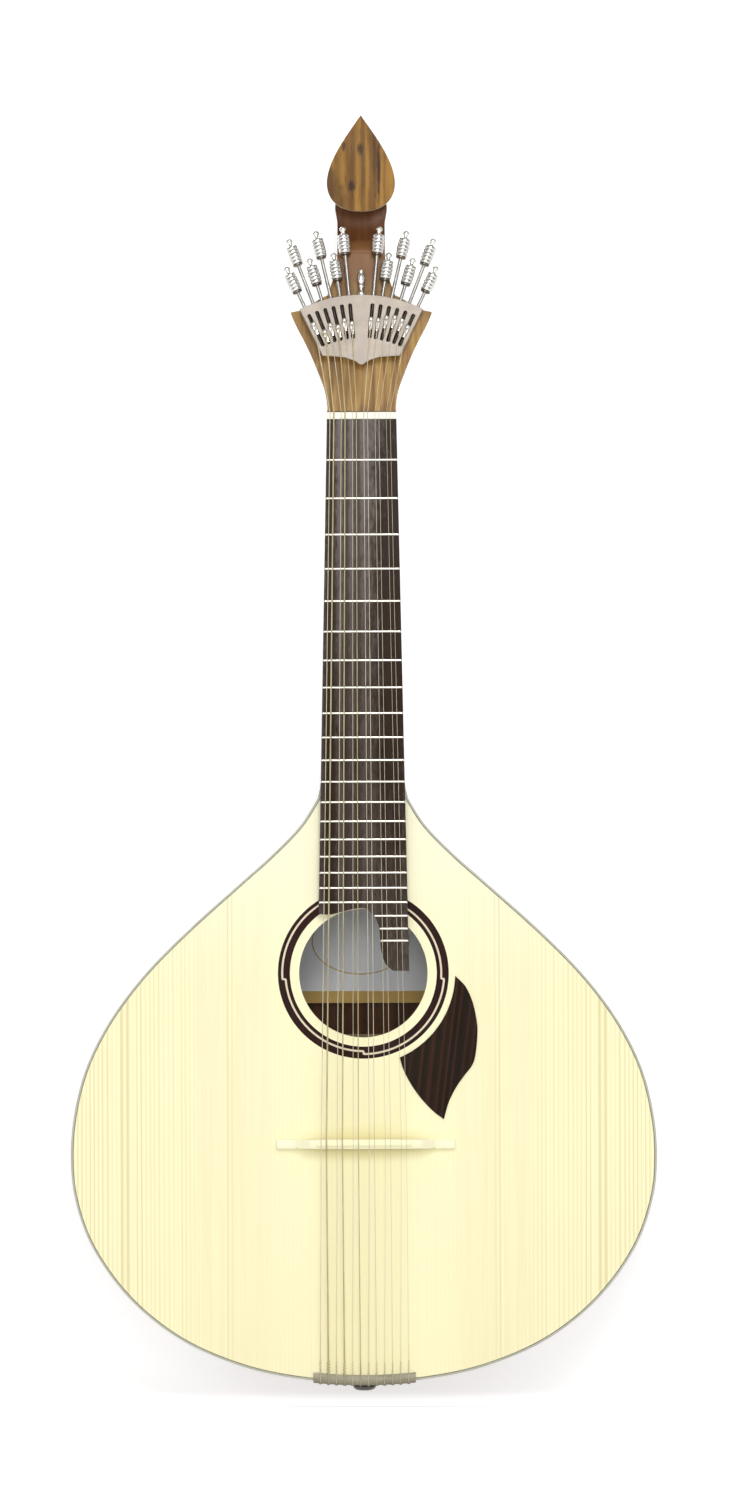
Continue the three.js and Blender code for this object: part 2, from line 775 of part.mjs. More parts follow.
// The teardrop at the end of the head, pointed at the top.
function dropShape() {
  const half = dropWidth / 2;
  const at = (across, up) => [across * half, dropFoot + up * dropLength];
  const shape = new THREE.Shape();
  shape.moveTo(...at(0, 0));
  const bend = (...points) => shape.bezierCurveTo(...points.flatMap((point) => at(...point)));
  bend(...dropLowerShares);
  bend(...dropUpperShares);
  bend(...mirrored([...dropLowerShares.slice(-1), ...dropUpperShares.slice(0, -1)]));
  bend(...mirrored([[0, 0], ...dropLowerShares.slice(0, -1)]));
  return shape;
}

function tilted(geometry) {
  return geometry.rotateX(-headTilt).translate(0, 0, nutThickness);
}

function neck() {
  const plate = slab(headShape(), 0, headThickness);
  const drop = slab(dropShape(), -dropFront, dropBack, 2 * smallSides);
  const carved = joined([shaftAndHeel(), ...[plate, stem(), drop].map(tilted)]);
  const heelCap = rimBack(jointZ) + backThickness;
  const behind = box(
    [-boardWidthAtJoint, heelCap, jointZ - overrun],
    [boardWidthAtJoint, heelReach + overrun, jointZ + heelBlock + heelCove],
  );
  return geometryOf(cut(carved, [behind]));
}

function headVeneer() {
  const rise = headSide();
  const top = wingTopShares.map(([w, l]) => [w * wingHalfWidth, l * wingTipAlong]);
  const waist = stemSide()
    .map(([half, z]) => [half - seatGap, z])
    .filter(([, z]) => z > wingRoot && z < veneerLength);
  const right = [...rise, ...top, ...waist, [stemHalfWidth, veneerLength]];
  const crown = [0, veneerLength + veneerCrown];
  const points = [...right, crown, ...mirrored(right)];
  return slab(shapeFrom(points), -seatGap - veneerThickness, -seatGap);
}

function teardropFace() {
  const back = -dropFront - seatGap;
  return slab(dropShape(), back - dropFaceThickness, back, 2 * smallSides);
}

// Fan tuning machine, drawn about the point where its slots would meet

function fanPoint(degrees, radius, aside = 0) {
  const angle = THREE.MathUtils.degToRad(degrees);
  return [
    radius * Math.sin(angle) + aside * Math.cos(angle),
    radius * Math.cos(angle) - aside * Math.sin(angle),
  ];
}

function fanArc(radius, from, to) {
  return Array.from({ length: fanArcSteps + 1 }, (_, i) => (
    fanPoint(THREE.MathUtils.lerp(from, to, i / fanArcSteps), radius)
  ));
}

function fanOutline() {
  const corner = fanPoint(fanCornerDegrees, fanCornerRadius);
  const rise = corner[1] - fanCuspRadius;
  const edge = fanEdgeShares.map(([w, h]) => [w * corner[0], fanCuspRadius + h * rise]);
  const right = smooth([corner, ...edge, [0, fanCuspRadius]], fanEdgeSteps);
  return [
    ...right.slice(0, -1),
    ...mirrored(right),
    ...fanArc(fanRadius, -fanHalfDegrees, fanHalfDegrees),
  ].reverse();
}

function fanCavity() {
  const wallSide = hookBlockWidth / 2 + blockGap;
  const last = slotDegrees[slotDegrees.length - 1];
  const corner = (radius) => fanPoint(last, radius, wallSide);
  const inner = corner(cavityInnerRadius);
  const outer = corner(cavityOuterRadius);
  const bearing = ([x, z]) => THREE.MathUtils.radToDeg(Math.atan2(x, z));
  return shapeFrom([
    ...fanArc(Math.hypot(...inner), bearing(inner), -bearing(inner)),
    ...fanArc(Math.hypot(...outer), -bearing(outer), bearing(outer)),
  ]);
}

// A slot in the plate, with round ends.
function slotPath(degrees) {
  const radius = slotWidth / 2;
  const points = [];
  [[slotOuterRadius - radius, 0], [slotInnerRadius + radius, 180]].forEach(([centre, turn]) => {
    slotEndDegrees.forEach((bend) => {
      const [x, z] = fanPoint(turn + bend, radius);
      points.push(fanPoint(degrees, centre + z, x));
    });
  });
  return new THREE.Path(points.map(([x, z]) => new THREE.Vector2(x, z)));
}

function fanPlate() {
  const shape = shapeFrom(fanOutline());
  shape.holes.push(...slotDegrees.map(slotPath));
  return slab(shape, -plateTop, -plateFloor);
}

function fanFrame() {
  const body = solidOf(slab(shapeFrom(fanOutline()), -fanWallTop, -fanFloor));
  const cavity = slab(fanCavity(), -fanWallTop - overrun, -fanFloor - fanBase);
  const bores = slotDegrees.map((degrees) => rod(
    shaftRadius + runningGap,
    cavityInnerRadius - screwFoot - runningGap,
    fanRadius + overrun,
  ).rotateY(THREE.MathUtils.degToRad(degrees)));
  return geometryOf(cut(body, [cavity, ...bores]));
}

// A round bar along a tuning screw's axis, between two radii of the fan.
function rod(radius, from, to) {
  return new THREE.CylinderGeometry(radius, radius, to - from, smallSides)
    .rotateX(Math.PI / 2)
    .translate(0, -screwHeight, (from + to) / 2);
}

function finial() {
  const profile = finialShares.map(([r, h]) => [r * finialRadius, h * finialLength]);
  return turned(profile, finialSides).translate(0, -screwHeight, fanRadius + seatGap);
}

function tunerScrew(reach) {
  const knobStart = reach - knobLength;
  const knob = ([r, h]) => [r * knobRadius, knobStart + h * knobLength];
  const ribs = Array.from({ length: 2 * knobRibs + 1 }, (_, i) => {
    const height = THREE.MathUtils.lerp(knobRibStartShare, knobRibEndShare, i / (2 * knobRibs));
    return knob([i % 2 === 0 ? knobValleyShare : 1, height]);
  });
  const collarTop = cavityOuterRadius - runningGap;
  const profile = [
    [threadRadius, cavityInnerRadius - screwFoot],
    [threadRadius, collarTop - collarLength],
    [collarRadius, collarTop - collarLength],
    [collarRadius, collarTop],
    [shaftRadius, collarTop],
    [shaftRadius, knobStart],
    ...knobCollarShares.map(knob),
    ...ribs,
    ...knobTopShares.map(knob),
  ];
  return turned(profile, knobSides).translate(0, -screwHeight, 0);
}

// A nut that rides on the screw, with a neck through the slot and a hook for the string's loop.
function tunerHook(radius) {
  const half = hookBlockHeight / 2;
  const block = box(
    [-hookBlockWidth / 2, -screwHeight - half, radius - hookBlockLength / 2],
    [hookBlockWidth / 2, -screwHeight + half, radius + hookBlockLength / 2],
  );
  const neckPiece = box(
    [-hookNeckWidth / 2, -hookTabTop, radius - hookNeckLength / 2],
    [hookNeckWidth / 2, -screwHeight - half + seatGap, radius + hookNeckLength / 2],
  );
  const tabTop = radius + hookNeckLength / 2;
  const tab = box(
    [-hookTabWidth / 2, -hookTabTop, tabTop - hookTabLength],
    [hookTabWidth / 2, -hookTabFloor, tabTop],
  );
  const post = new THREE.CylinderGeometry(
    hookPostRadius,
    hookPostRadius,
    hookPostHeight + hookBallRadius,
    smallSides,
  ).translate(0, -hookTabTop - (hookPostHeight + hookBallRadius) / 2 + seatGap, radius);
  const ball = new THREE.SphereGeometry(hookBallRadius, smallSides, smallSides / 2)
    .translate(0, -hookTabTop - hookPostHeight - hookBallRadius / 2, radius);
  const boreReach = hookBlockLength / 2 + overrun;
  const bore = rod(threadRadius + runningGap, radius - boreReach, radius + boreReach);
  return geometryOf(cut(joined([block, neckPiece, tab, post, ball]), [bore]));
}

// Strings

function pairX(i, pitch, spread) {
  const pair = Math.floor(i / 2) - (stringDiameters.length / 2 - 1) / 2;
  return pair * pitch + (i % 2 === 0 ? -spread : spread) / 2;
}

function tailX(i) {
  return (i - (stringDiameters.length - 1) / 2) * tailPitch;
}

// From the hook over the nut and saddle, round the tailpiece's edge and on to its pin.
function string(i, hookEnd) {
  const radius = stringDiameters[i] / 2;
  const atNut = pairX(i, nutPairPitch, nutPairSpread) + nutStringShift;
  const atSaddle = pairX(i, saddlePairPitch, saddlePairSpread);
  const atTail = tailX(i);
  const edge = tailEdge(atTail);
  const below = edge - stringFloorAtTail - radius;
  const floor = -stringFloorAtTail - radius;
  return tube([
    hookEnd,
    new THREE.Vector3(atNut, -stringFloorAtNut - radius, nutThickness),
    new THREE.Vector3(atNut, -stringFloorAtNut - radius, 0),
    new THREE.Vector3(atSaddle, -stringFloorAtSaddle - radius, -scaleLength),
    new THREE.Vector3(atTail, floor, edge + tailpieceLip),
    new THREE.Vector3(atTail, floor, edge - tailpieceThickness / 2),
    new THREE.Vector3(atTail, floor + radius, below),
    new THREE.Vector3(atTail, tailPinDepth - tailPinRadius - runningGap, below),
  ], radius, stringSides);
}

// Materials, one for each piece

function wood(color) {
  return new THREE.MeshStandardMaterial({ color, roughness: 0.6, metalness: 0 });
}

function metal(color, roughness) {
  return new THREE.MeshStandardMaterial({ color, roughness, metalness: 1 });
}

const spruce = () => wood(0xf6e9c2);
const rosewood = () => wood(0x3c2a28);
const walnut = () => wood(0x8d6337);
const mahogany = () => wood(0x6b3f25);
const bone = () => new THREE.MeshStandardMaterial({ color: 0xfffbe4, roughness: 0.4, metalness: 0 });
const nickel = () => metal(0xd7cdc3, 0.35);
const chrome = () => metal(0xe4e4e8, 0.15);
const steel = () => metal(0xb9bcc0, 0.3);

// Assembly

const guitar = new THREE.Group();

function place(parent, name, geometry, material) {
  const finished = sealed(geometry);
  finished.computeVertexNormals();
  const mesh = new THREE.Mesh(finished, material);
  mesh.name = name;
  parent.add(mesh);
  return mesh;
}

const topBraceUpperZ = soundholeZ + soundholeRadius + topBraceUpperGap + braceWidth / 2;
const topBraceLowerZ = soundholeZ - soundholeRadius + topBraceLowerShowing - braceWidth / 2;

place(guitar, 'soundboard', soundboard(), spruce());
place(guitar, 'rosette', rosette(), rosewood());
place(guitar, 'pickguard', pickguard(), rosewood());
place(guitar, 'rib_bass', rib(-1), mahogany());
place(guitar, 'rib_treble', rib(1), mahogany());
place(guitar, 'back_plate', backPlate(), mahogany());
place(guitar, 'neck_block', neckBlock(), mahogany());
place(guitar, 'tail_block', tailBlock(), mahogany());
place(guitar, 'brace_top_upper', topBrace(topBraceUpperZ), spruce());
place(guitar, 'brace_top_lower', topBrace(topBraceLowerZ), spruce());
place(guitar, 'brace_back_upper', backBrace(jointZ - backBraceUpperDrop), spruce());
place(guitar, 'brace_back_lower', backBrace(jointZ - backBraceLowerDrop), spruce());
place(guitar, 'bridge', bridge(), bone());
place(guitar, 'saddle', saddle(), bone());
place(guitar, 'tailpiece', tailpiece(), metal(0x8e8a78, 0.4));
place(guitar, 'strap_button', strapButton(), metal(0x55555a, 0.2));
place(guitar, 'neck', neck(), mahogany());
place(guitar, 'fretboard', fretboard(), rosewood());
place(guitar, 'nut', nut(), bone());

const head = new THREE.Group();
head.position.z = nutThickness;
head.rotation.x = -headTilt;
guitar.add(head);
place(head, 'head_veneer', headVeneer(), walnut());
place(head, 'teardrop_face', teardropFace(), walnut());

const fan = new THREE.Group();
fan.position.z = -fanCentreDrop;
head.add(fan);
place(fan, 'fan_frame', fanFrame(), nickel());
place(fan, 'fan_plate', fanPlate(), nickel());
place(fan, 'fan_finial', finial(), chrome());

slotDegrees.forEach((degrees, i) => {
  const number = String(i + 1).padStart(2, '0');
  const tuner = new THREE.Group();
  tuner.rotation.y = THREE.MathUtils.degToRad(degrees);
  fan.add(tuner);
  const reach = screwIsLong[i] ? longScrewReach : shortScrewReach;
  place(tuner, `tuner_screw_${number}`, tunerScrew(reach), chrome());
  place(tuner, `tuner_hook_${number}`, tunerHook(hookRadii[i]), chrome());
  guitar.updateMatrixWorld(true);
  const loopEnd = hookRadii[i] - hookPostRadius - runningGap;
  const hookEnd = tuner.localToWorld(new THREE.Vector3(0, -loopHeight, loopEnd));
  place(guitar, `string_${number}`, string(i, hookEnd), steel());
});

export default guitar;
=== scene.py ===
"""The looks of a pear-shaped guitar with paired strings and a fan tuning machine.

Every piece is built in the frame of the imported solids: X to the treble side, Y from the strings to
the back, Z up to the head. Sizes in the classes are in millimetres and meshes are in metres.
"""

import logging
from dataclasses import dataclass, field, replace
from enum import Enum
from itertools import product
from math import asin, copysign, cos, degrees, pi, radians, sin, sqrt
from typing import Callable, Optional, Sequence, Union

import bmesh
import bpy
from mathutils import Matrix, Vector


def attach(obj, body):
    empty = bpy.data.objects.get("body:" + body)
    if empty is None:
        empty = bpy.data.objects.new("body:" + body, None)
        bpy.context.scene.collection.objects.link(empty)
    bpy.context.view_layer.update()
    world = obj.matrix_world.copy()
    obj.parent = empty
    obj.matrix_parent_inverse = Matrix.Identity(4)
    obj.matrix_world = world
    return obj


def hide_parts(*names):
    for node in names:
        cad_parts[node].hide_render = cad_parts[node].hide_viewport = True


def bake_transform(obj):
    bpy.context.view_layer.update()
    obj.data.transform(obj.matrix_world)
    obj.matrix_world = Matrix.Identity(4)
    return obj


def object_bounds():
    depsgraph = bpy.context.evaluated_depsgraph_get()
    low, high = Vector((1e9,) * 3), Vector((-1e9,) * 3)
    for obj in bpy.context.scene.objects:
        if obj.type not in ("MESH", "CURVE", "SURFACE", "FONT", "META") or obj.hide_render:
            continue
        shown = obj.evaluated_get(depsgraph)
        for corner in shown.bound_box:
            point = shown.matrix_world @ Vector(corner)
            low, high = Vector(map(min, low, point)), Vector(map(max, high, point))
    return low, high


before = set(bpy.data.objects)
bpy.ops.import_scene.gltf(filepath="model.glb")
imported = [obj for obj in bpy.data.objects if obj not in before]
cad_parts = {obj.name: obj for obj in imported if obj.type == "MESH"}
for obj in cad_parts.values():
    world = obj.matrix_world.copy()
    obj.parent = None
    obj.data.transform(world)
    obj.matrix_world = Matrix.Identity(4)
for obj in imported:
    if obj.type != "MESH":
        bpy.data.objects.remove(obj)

LOG = logging.getLogger("guitar")
CAD_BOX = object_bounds()
ROOT = "root"
MM = 0.001
WELD = 1e-7
FLAT_CREASE, ROUND_CREASE, BENT_CREASE = 18.0, 35.0, 50.0

Flat = tuple[float, float]
Colour = tuple[float, float, float]
Place = tuple[float, float, float]
Row = tuple[float, ...]
Line = tuple[Flat, ...]
Socket = bpy.types.NodeSocket


# Shapes


@dataclass(frozen=True)
class Bend:
    """What a wire spans: its start and its end in metres, and the body at its end."""

    body: str
    start: Row
    end: Row


@dataclass
class Shell:
    """Points and faces of one or more closed surfaces, in millimetres."""

    points: list[Vector] = field(default_factory=list)
    faces: list[tuple[int, ...]] = field(default_factory=list)
    crease: float = ROUND_CREASE

    def add(self, *others: "Shell") -> "Shell":
        """Adds other shells to this one.

        Args:
            others: The other shells.

        Returns:
            This shell.
        """
        for other in others:
            start = len(self.points)
            self.points.extend(other.points)
            self.faces.extend(tuple(i + start for i in face) for face in other.faces)
        return self

    def moved(self, place: Matrix) -> "Shell":
        """A copy of the shell at another place, given in millimetres."""
        return Shell([place @ p for p in self.points], list(self.faces), self.crease)

    def tapered(self, front: float, back: float, centre: Flat, share: float) -> "Shell":
        """A copy that narrows towards its back.

        Args:
            front: Where the narrowing starts in Y.
            back: Where it ends in Y.
            centre: The point that the outline narrows towards, in X and Z.
            share: The outline's size at the back, as a share of its size in front.

        Returns:
            The narrowed shell.
        """
        points = []
        for x, y, z in self.points:
            size = 1 - (1 - share) * clamped((y - front) / (back - front))
            points.append(Vector((centre[0] + (x - centre[0]) * size, y, centre[1] + (z - centre[1]) * size)))
        return Shell(points, list(self.faces), self.crease)

    def show(
        self, name: str, finish: "Finish", *nodes: str,
        body: Union[str, Bend] = ROOT, rounding: float = 0.0, crease: float = 0.0,
    ) -> None:
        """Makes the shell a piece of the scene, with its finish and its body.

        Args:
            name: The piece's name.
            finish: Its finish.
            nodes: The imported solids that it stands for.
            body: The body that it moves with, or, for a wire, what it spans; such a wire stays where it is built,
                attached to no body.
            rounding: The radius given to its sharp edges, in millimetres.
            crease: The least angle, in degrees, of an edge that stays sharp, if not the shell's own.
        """
        limit = radians(crease or self.crease)
        work = bmesh.new()
        points = [work.verts.new(p * MM) for p in self.points]
        for face in self.faces:
            corners = [points[i] for i in dict.fromkeys(face)]
            if len(corners) > 2 and not work.faces.get(corners):
                work.faces.new(corners)
        bmesh.ops.remove_doubles(work, verts=work.verts, dist=WELD)
        bmesh.ops.recalc_face_normals(work, faces=work.faces)
        if rounding:
            sharp = [e for e in work.edges if e.is_manifold and e.calc_face_angle(0) > limit]
            bmesh.ops.bevel(
                work, geom=sharp, offset=rounding * MM, segments=2, profile=0.5,
                affect="EDGES", clamp_overlap=True,
            )
        mesh = bpy.data.meshes.new(name)
        work.to_mesh(mesh)
        work.free()
        mesh.shade_smooth()
        mesh.set_sharp_from_angle(angle=limit)
        mesh.materials.append(finish.material())
        piece = linked(name, mesh)
        if isinstance(body, Bend):
            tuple(body.start)
            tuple(body.end)
            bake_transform(piece)
        else:
            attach(piece, body)
        if nodes:
            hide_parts(*nodes)
        LOG.info("%s on %s: %s, %d faces", name, body, finish.name, len(mesh.polygons))


def linked(name: str, data: bpy.types.ID) -> bpy.types.Object:
    """Adds an object to the scene.

    Args:
        name: The object's name.
        data: Its mesh, curve, light or camera.

    Returns:
        The object.
    """
    made = bpy.data.objects.new(name, data)
    bpy.context.scene.collection.objects.link(made)
    return made


def at(x: float, y: float, z: float, turn: float = 0.0) -> Matrix:
    """A place, turned about the X axis by an angle in degrees."""
    return Matrix.Translation((x, y, z)) @ Matrix.Rotation(radians(turn), 4, "X")


def clamped(value: float) -> float:
    """The value, kept between 0 and 1."""
    return min(max(value, 0.0), 1.0)


def spin(angle: float, across: Vector, up: Vector) -> Vector:
    """A direction turned from across towards up, by an angle in radians."""
    return cos(angle) * across + sin(angle) * up


def scaled(shares: Sequence[Flat], wide: float, tall: float, x: float = 0.0, z: float = 0.0) -> list[Flat]:
    """Points given as shares of a width and a height, from a corner at x and z."""
    return [(x + across * wide, z + up * tall) for across, up in shares]


def spline(points: Sequence[Flat], steps: int) -> list[Flat]:
    """A smooth line through flat points.

    Args:
        points: The points that the line passes through.
        steps: How many stretches the line is given.

    Returns:
        The points of the line, one more than its stretches.
    """
    last = len(points) - 1
    line = []
    for step in range(steps + 1):
        along = step / steps * last
        k = min(int(along), last - 1)
        t = along - k
        a, b, c, d = (points[min(max(i, 0), last)] for i in (k - 1, k, k + 1, k + 2))
        line.append(tuple(
            (2 * q - 2 * r + (r - p) / 2 + (s - q) / 2) * t ** 3
            + (3 * r - 3 * q - (r - p) - (s - q) / 2) * t ** 2
            + (r - p) / 2 * t + q
            for p, q, r, s in zip(a, b, c, d)
        ))
    return line


def bezier(ends: Sequence[Flat], steps: int) -> list[Flat]:
    """One bend.

    Args:
        ends: Its start, two handles and end.
        steps: How many stretches it is given.

    Returns:
        Its points without its start.
    """
    line = []
    for step in range(1, steps + 1):
        t = step / steps
        shares = ((1 - t) ** 3, 3 * t * (1 - t) ** 2, 3 * t * t * (1 - t), t ** 3)
        line.append(tuple(sum(s * p[axis] for s, p in zip(shares, ends)) for axis in (0, 1)))
    return line


def mirrored(points: Sequence[Flat]) -> list[Flat]:
    """The points on the other side of the centre line, in the opposite order."""
    return [(-x, z) for x, z in reversed(points)]


def arc(radius: float, start: float, end: float, steps: int, centre: Flat = (0, 0)) -> list[Flat]:
    """Points of an arc, with angles in degrees from the X axis towards the Z axis."""
    angles = [radians(start + (end - start) * i / steps) for i in range(steps + 1)]
    return [(centre[0] + radius * cos(a), centre[1] + radius * sin(a)) for a in angles]


def ring(radius: float, steps: int, centre: Flat = (0, 0)) -> list[Flat]:
    """Points of a full circle, without a repeated one."""
    return arc(radius, 0, 360, steps, centre)[:-1]


def polar(bearing: float, radius: float, aside: float = 0.0) -> Flat:
    """A point at a radius and a bearing in degrees from the Z axis, moved aside at right angles to it."""
    a = radians(bearing)
    return radius * sin(a) + aside * cos(a), radius * cos(a) - aside * sin(a)


def slab(
    outline: Sequence[Flat], front: float, back: float,
    holes: Sequence[Sequence[Flat]] = (), rounding: float = 0.0,
) -> Shell:
    """A flat plate drawn in X and Z, from front to back in Y.

    Args:
        outline: The outer edge.
        front: The front face's place in Y.
        back: The back face's place in Y.
        holes: Edges of the openings.
        rounding: The radius of the plate's edges.

    Returns:
        The plate as a shell.
    """
    curve = bpy.data.curves.new("outline", "CURVE")
    curve.dimensions = "2D"
    curve.fill_mode = "BOTH"
    curve.extrude = (back - front) / 2 - rounding
    curve.bevel_depth = rounding
    curve.bevel_resolution = 1
    curve.offset = -rounding
    for loop in (outline, *holes):
        run = curve.splines.new("POLY")
        run.points.add(len(loop) - 1)
        for point, (x, z) in zip(run.points, loop):
            point.co = (x, z, 0, 1)
        run.use_cyclic_u = True
    holder = linked("outline", curve)
    bpy.context.view_layer.update()
    mesh = bpy.data.meshes.new_from_object(holder.evaluated_get(bpy.context.evaluated_depsgraph_get()))
    middle = (front + back) / 2
    points = [Vector((v.co.x, middle - v.co.z, v.co.y)) for v in mesh.vertices]
    shell = Shell(points, [tuple(face.vertices) for face in mesh.polygons], FLAT_CREASE)
    bpy.data.objects.remove(holder)
    bpy.data.curves.remove(curve)
    bpy.data.meshes.remove(mesh)
    return shell


def loft(rings: Sequence[Sequence[Vector]]) -> Shell:
    """A skin over rings of points.

    Args:
        rings: The sections, each with the same number of points.

    Returns:
        The skin, with flat ends.
    """
    count = len(rings[0])
    end = (len(rings) - 1) * count
    faces = []
    for start in range(0, end, count):
        for j in range(count):
            k = (j + 1) % count
            faces.append((start + j, start + k, start + count + k, start + count + j))
    faces += [tuple(range(count)), tuple(range(end, end + count))]
    return Shell([point for section in rings for point in section], faces)


def turned(profile: Sequence[Flat], sides: int, flutes: float = 0.0, count: int = 0) -> Shell:
    """A round piece about the Z axis.

    Args:
        profile: Radii and heights from the bottom to the top.
        sides: The number of sides.
        flutes: How deep the grooves on the widest rings are, as a share of the radius.
        count: The number of grooves.

    Returns:
        The closed shell.
    """
    widest = max(radius for radius, _ in profile)
    rings = []
    for radius, height in profile:
        depth = flutes * max(0.0, radius / widest - FLUTE_FLOOR) / (1 - FLUTE_FLOOR)
        section = []
        for angle in (2 * pi * k / sides for k in range(sides)):
            reach = radius * (1 - depth * (0.5 - 0.5 * cos(count * angle)))
            section.append(Vector((reach * cos(angle), reach * sin(angle), height)))
        rings.append(section)
    return loft(rings)


FLUTE_FLOOR = 0.86


def tube(path: Sequence[Vector], radius: Union[float, Sequence[float]], sides: int) -> Shell:
    """A round wire along a path.

    Args:
        path: The centre line.
        radius: One radius, or one for each point.
        sides: The number of sides.

    Returns:
        The closed shell.
    """
    radii = [radius] * len(path) if isinstance(radius, (int, float)) else radius
    across = None
    rings = []
    for i, point in enumerate(path):
        ahead = (path[min(i + 1, len(path) - 1)] - path[max(i - 1, 0)]).normalized()
        if across is None:
            across = ahead.orthogonal().normalized()
        across = (across - ahead * across.dot(ahead)).normalized()
        up = ahead.cross(across)
        rings.append([point + radii[i] * spin(2 * pi * k / sides, across, up) for k in range(sides)])
    return loft(rings)


def block(low: Sequence[float], high: Sequence[float]) -> Shell:
    """A box.

    Args:
        low: Its corner with the least coordinates.
        high: The opposite corner.

    Returns:
        The box as a shell.
    """
    corners = [Vector((x, y, z)) for x, y, z in product(*zip(low, high))]
    faces = [(0, 1, 3, 2), (4, 6, 7, 5), (0, 4, 5, 1), (2, 3, 7, 6), (0, 2, 6, 4), (1, 5, 7, 3)]
    return Shell(corners, faces, FLAT_CREASE)


# Shader graphs


class Term:
    """An output of a shader node, with arithmetic that adds nodes to its graph."""

    def __init__(self, graph: "Graph", socket: Socket) -> None:
        """Wraps an output."""
        self.graph, self.socket = graph, socket

    def __add__(self, other: "Value") -> "Term":
        """The sum."""
        return self.graph.math("ADD", self, other)

    def __sub__(self, other: "Value") -> "Term":
        """The difference."""
        return self.graph.math("SUBTRACT", self, other)

    def __mul__(self, other: "Value") -> "Term":
        """The product."""
        return self.graph.math("MULTIPLY", self, other)

    def __truediv__(self, other: "Value") -> "Term":
        """The quotient."""
        return self.graph.math("DIVIDE", self, other)

    def __abs__(self) -> "Term":
        """The number without its sign."""
        return self.graph.math("ABSOLUTE", self)

    def top(self, other: "Value") -> "Term":
        """The greater of the two."""
        return self.graph.math("MAXIMUM", self, other)

    def spread(self, low: "Value", high: "Value", start: float = 0.0, end: float = 1.0) -> "Term":
        """The number between low and high, turned smoothly into one between start and end."""
        inputs = {"Value": self, "From Min": low, "From Max": high, "To Min": start, "To Max": end}
        return self.graph.first("ShaderNodeMapRange", inputs, interpolation_type="SMOOTHSTEP")


Value = Union[Term, float, Colour]


class Graph:
    """Adds nodes to one shader tree and joins them."""

    def __init__(self, tree: bpy.types.NodeTree) -> None:
        """Starts on an existing tree."""
        self.tree = tree

    def feed(self, socket: Socket, value: Value) -> None:
        """Joins an input to an output, or sets its own value.

        Args:
            socket: The input.
            value: The output, number or colour.
        """
        if isinstance(value, Term):
            self.tree.links.new(value.socket, socket)
        else:
            socket.default_value = (*value, 1.0) if socket.type == "RGBA" else value

    def node(self, kind: str, inputs: Optional[dict] = None, **settings: object) -> bpy.types.Node:
        """Adds a node.

        Args:
            kind: The node's type.
            inputs: Values for its inputs, by name or number.
            settings: The node's own settings.

        Returns:
            The node.
        """
        made = self.tree.nodes.new(kind)
        for name, setting in settings.items():
            setattr(made, name, setting)
        for name, value in (inputs or {}).items():
            self.feed(made.inputs[name], value)
        return made

    def out(self, node: bpy.types.Node, name: Union[str, int] = 0) -> Term:
        """One output of a node, by name or number."""
        return Term(self, node.outputs[name])

    def first(self, kind: str, inputs: Optional[dict] = None, **settings: object) -> Term:
        """Adds a node and gives its first output."""
        return self.out(self.node(kind, inputs, **settings))

    def math(self, operation: str, *values: Value) -> Term:
        """One sum on numbers."""
        return self.first("ShaderNodeMath", dict(enumerate(values)), operation=operation)

    def mix(self, share: Value, first: Value, second: Value) -> Term:
        """A colour between two colours."""
        return self.out(self.node("ShaderNodeMix", {0: share, 6: first, 7: second}, data_type="RGBA"), 2)

    def noise(self, vector: Term, scale: Value, detail: float = 2.0, roughness: float = 0.5) -> Term:
        """A noise value over a vector."""
        inputs = {"Vector": vector, "Scale": scale, "Detail": detail, "Roughness": roughness}
        return self.first("ShaderNodeTexNoise", inputs)

    def vector(self, x: Value, y: Value, z: Value) -> Term:
        """A vector from three numbers."""
        return self.first("ShaderNodeCombineXYZ", {0: x, 1: y, 2: z})

    def parts(self, vector: Term) -> list[Term]:
        """The three numbers of a vector."""
        made = self.node("ShaderNodeSeparateXYZ", {0: vector})
        return [self.out(made, axis) for axis in range(3)]

    def place(self, kind: str = "Object") -> Term:
        """The place on the piece in metres, or another kind of coordinate."""
        return self.out(self.node("ShaderNodeTexCoord"), kind)

    def rays(self, *kinds: str) -> Term:
        """Whether the ray is of one of some kinds.

        Args:
            kinds: Their names.

        Returns:
            1 for such a ray and 0 for another.
        """
        path = self.node("ShaderNodeLightPath")
        found = self.out(path, f"Is {kinds[0]} Ray")
        for kind in kinds[1:]:
            found = found.top(self.out(path, f"Is {kind} Ray"))
        return found


class Grain(Enum):
    """Which way a piece's grain runs."""

    UPRIGHT = "along Z"
    BOOKMATCHED = "along Z, alike on both sides of the centre line"
    LEANING = "along Z, leaning to the treble side"
    AROUND = "along the rim"

    def place(self, graph: Graph) -> Term:
        """Turns the place on a piece so that the grain runs along the third axis.

        Args:
            graph: The material's graph.

        Returns:
            The turned place.
        """
        x, y, z = graph.parts(graph.place())
        if self is Grain.BOOKMATCHED:
            x = abs(x)
        elif self is Grain.LEANING:
            x = x - z * LEAF_LEAN
        elif self is Grain.AROUND:
            x, y, z = y, x, z * RIM_STRETCH
        return graph.vector(x, y, z)


LEAF_LEAN = 0.12
RIM_STRETCH = 0.25


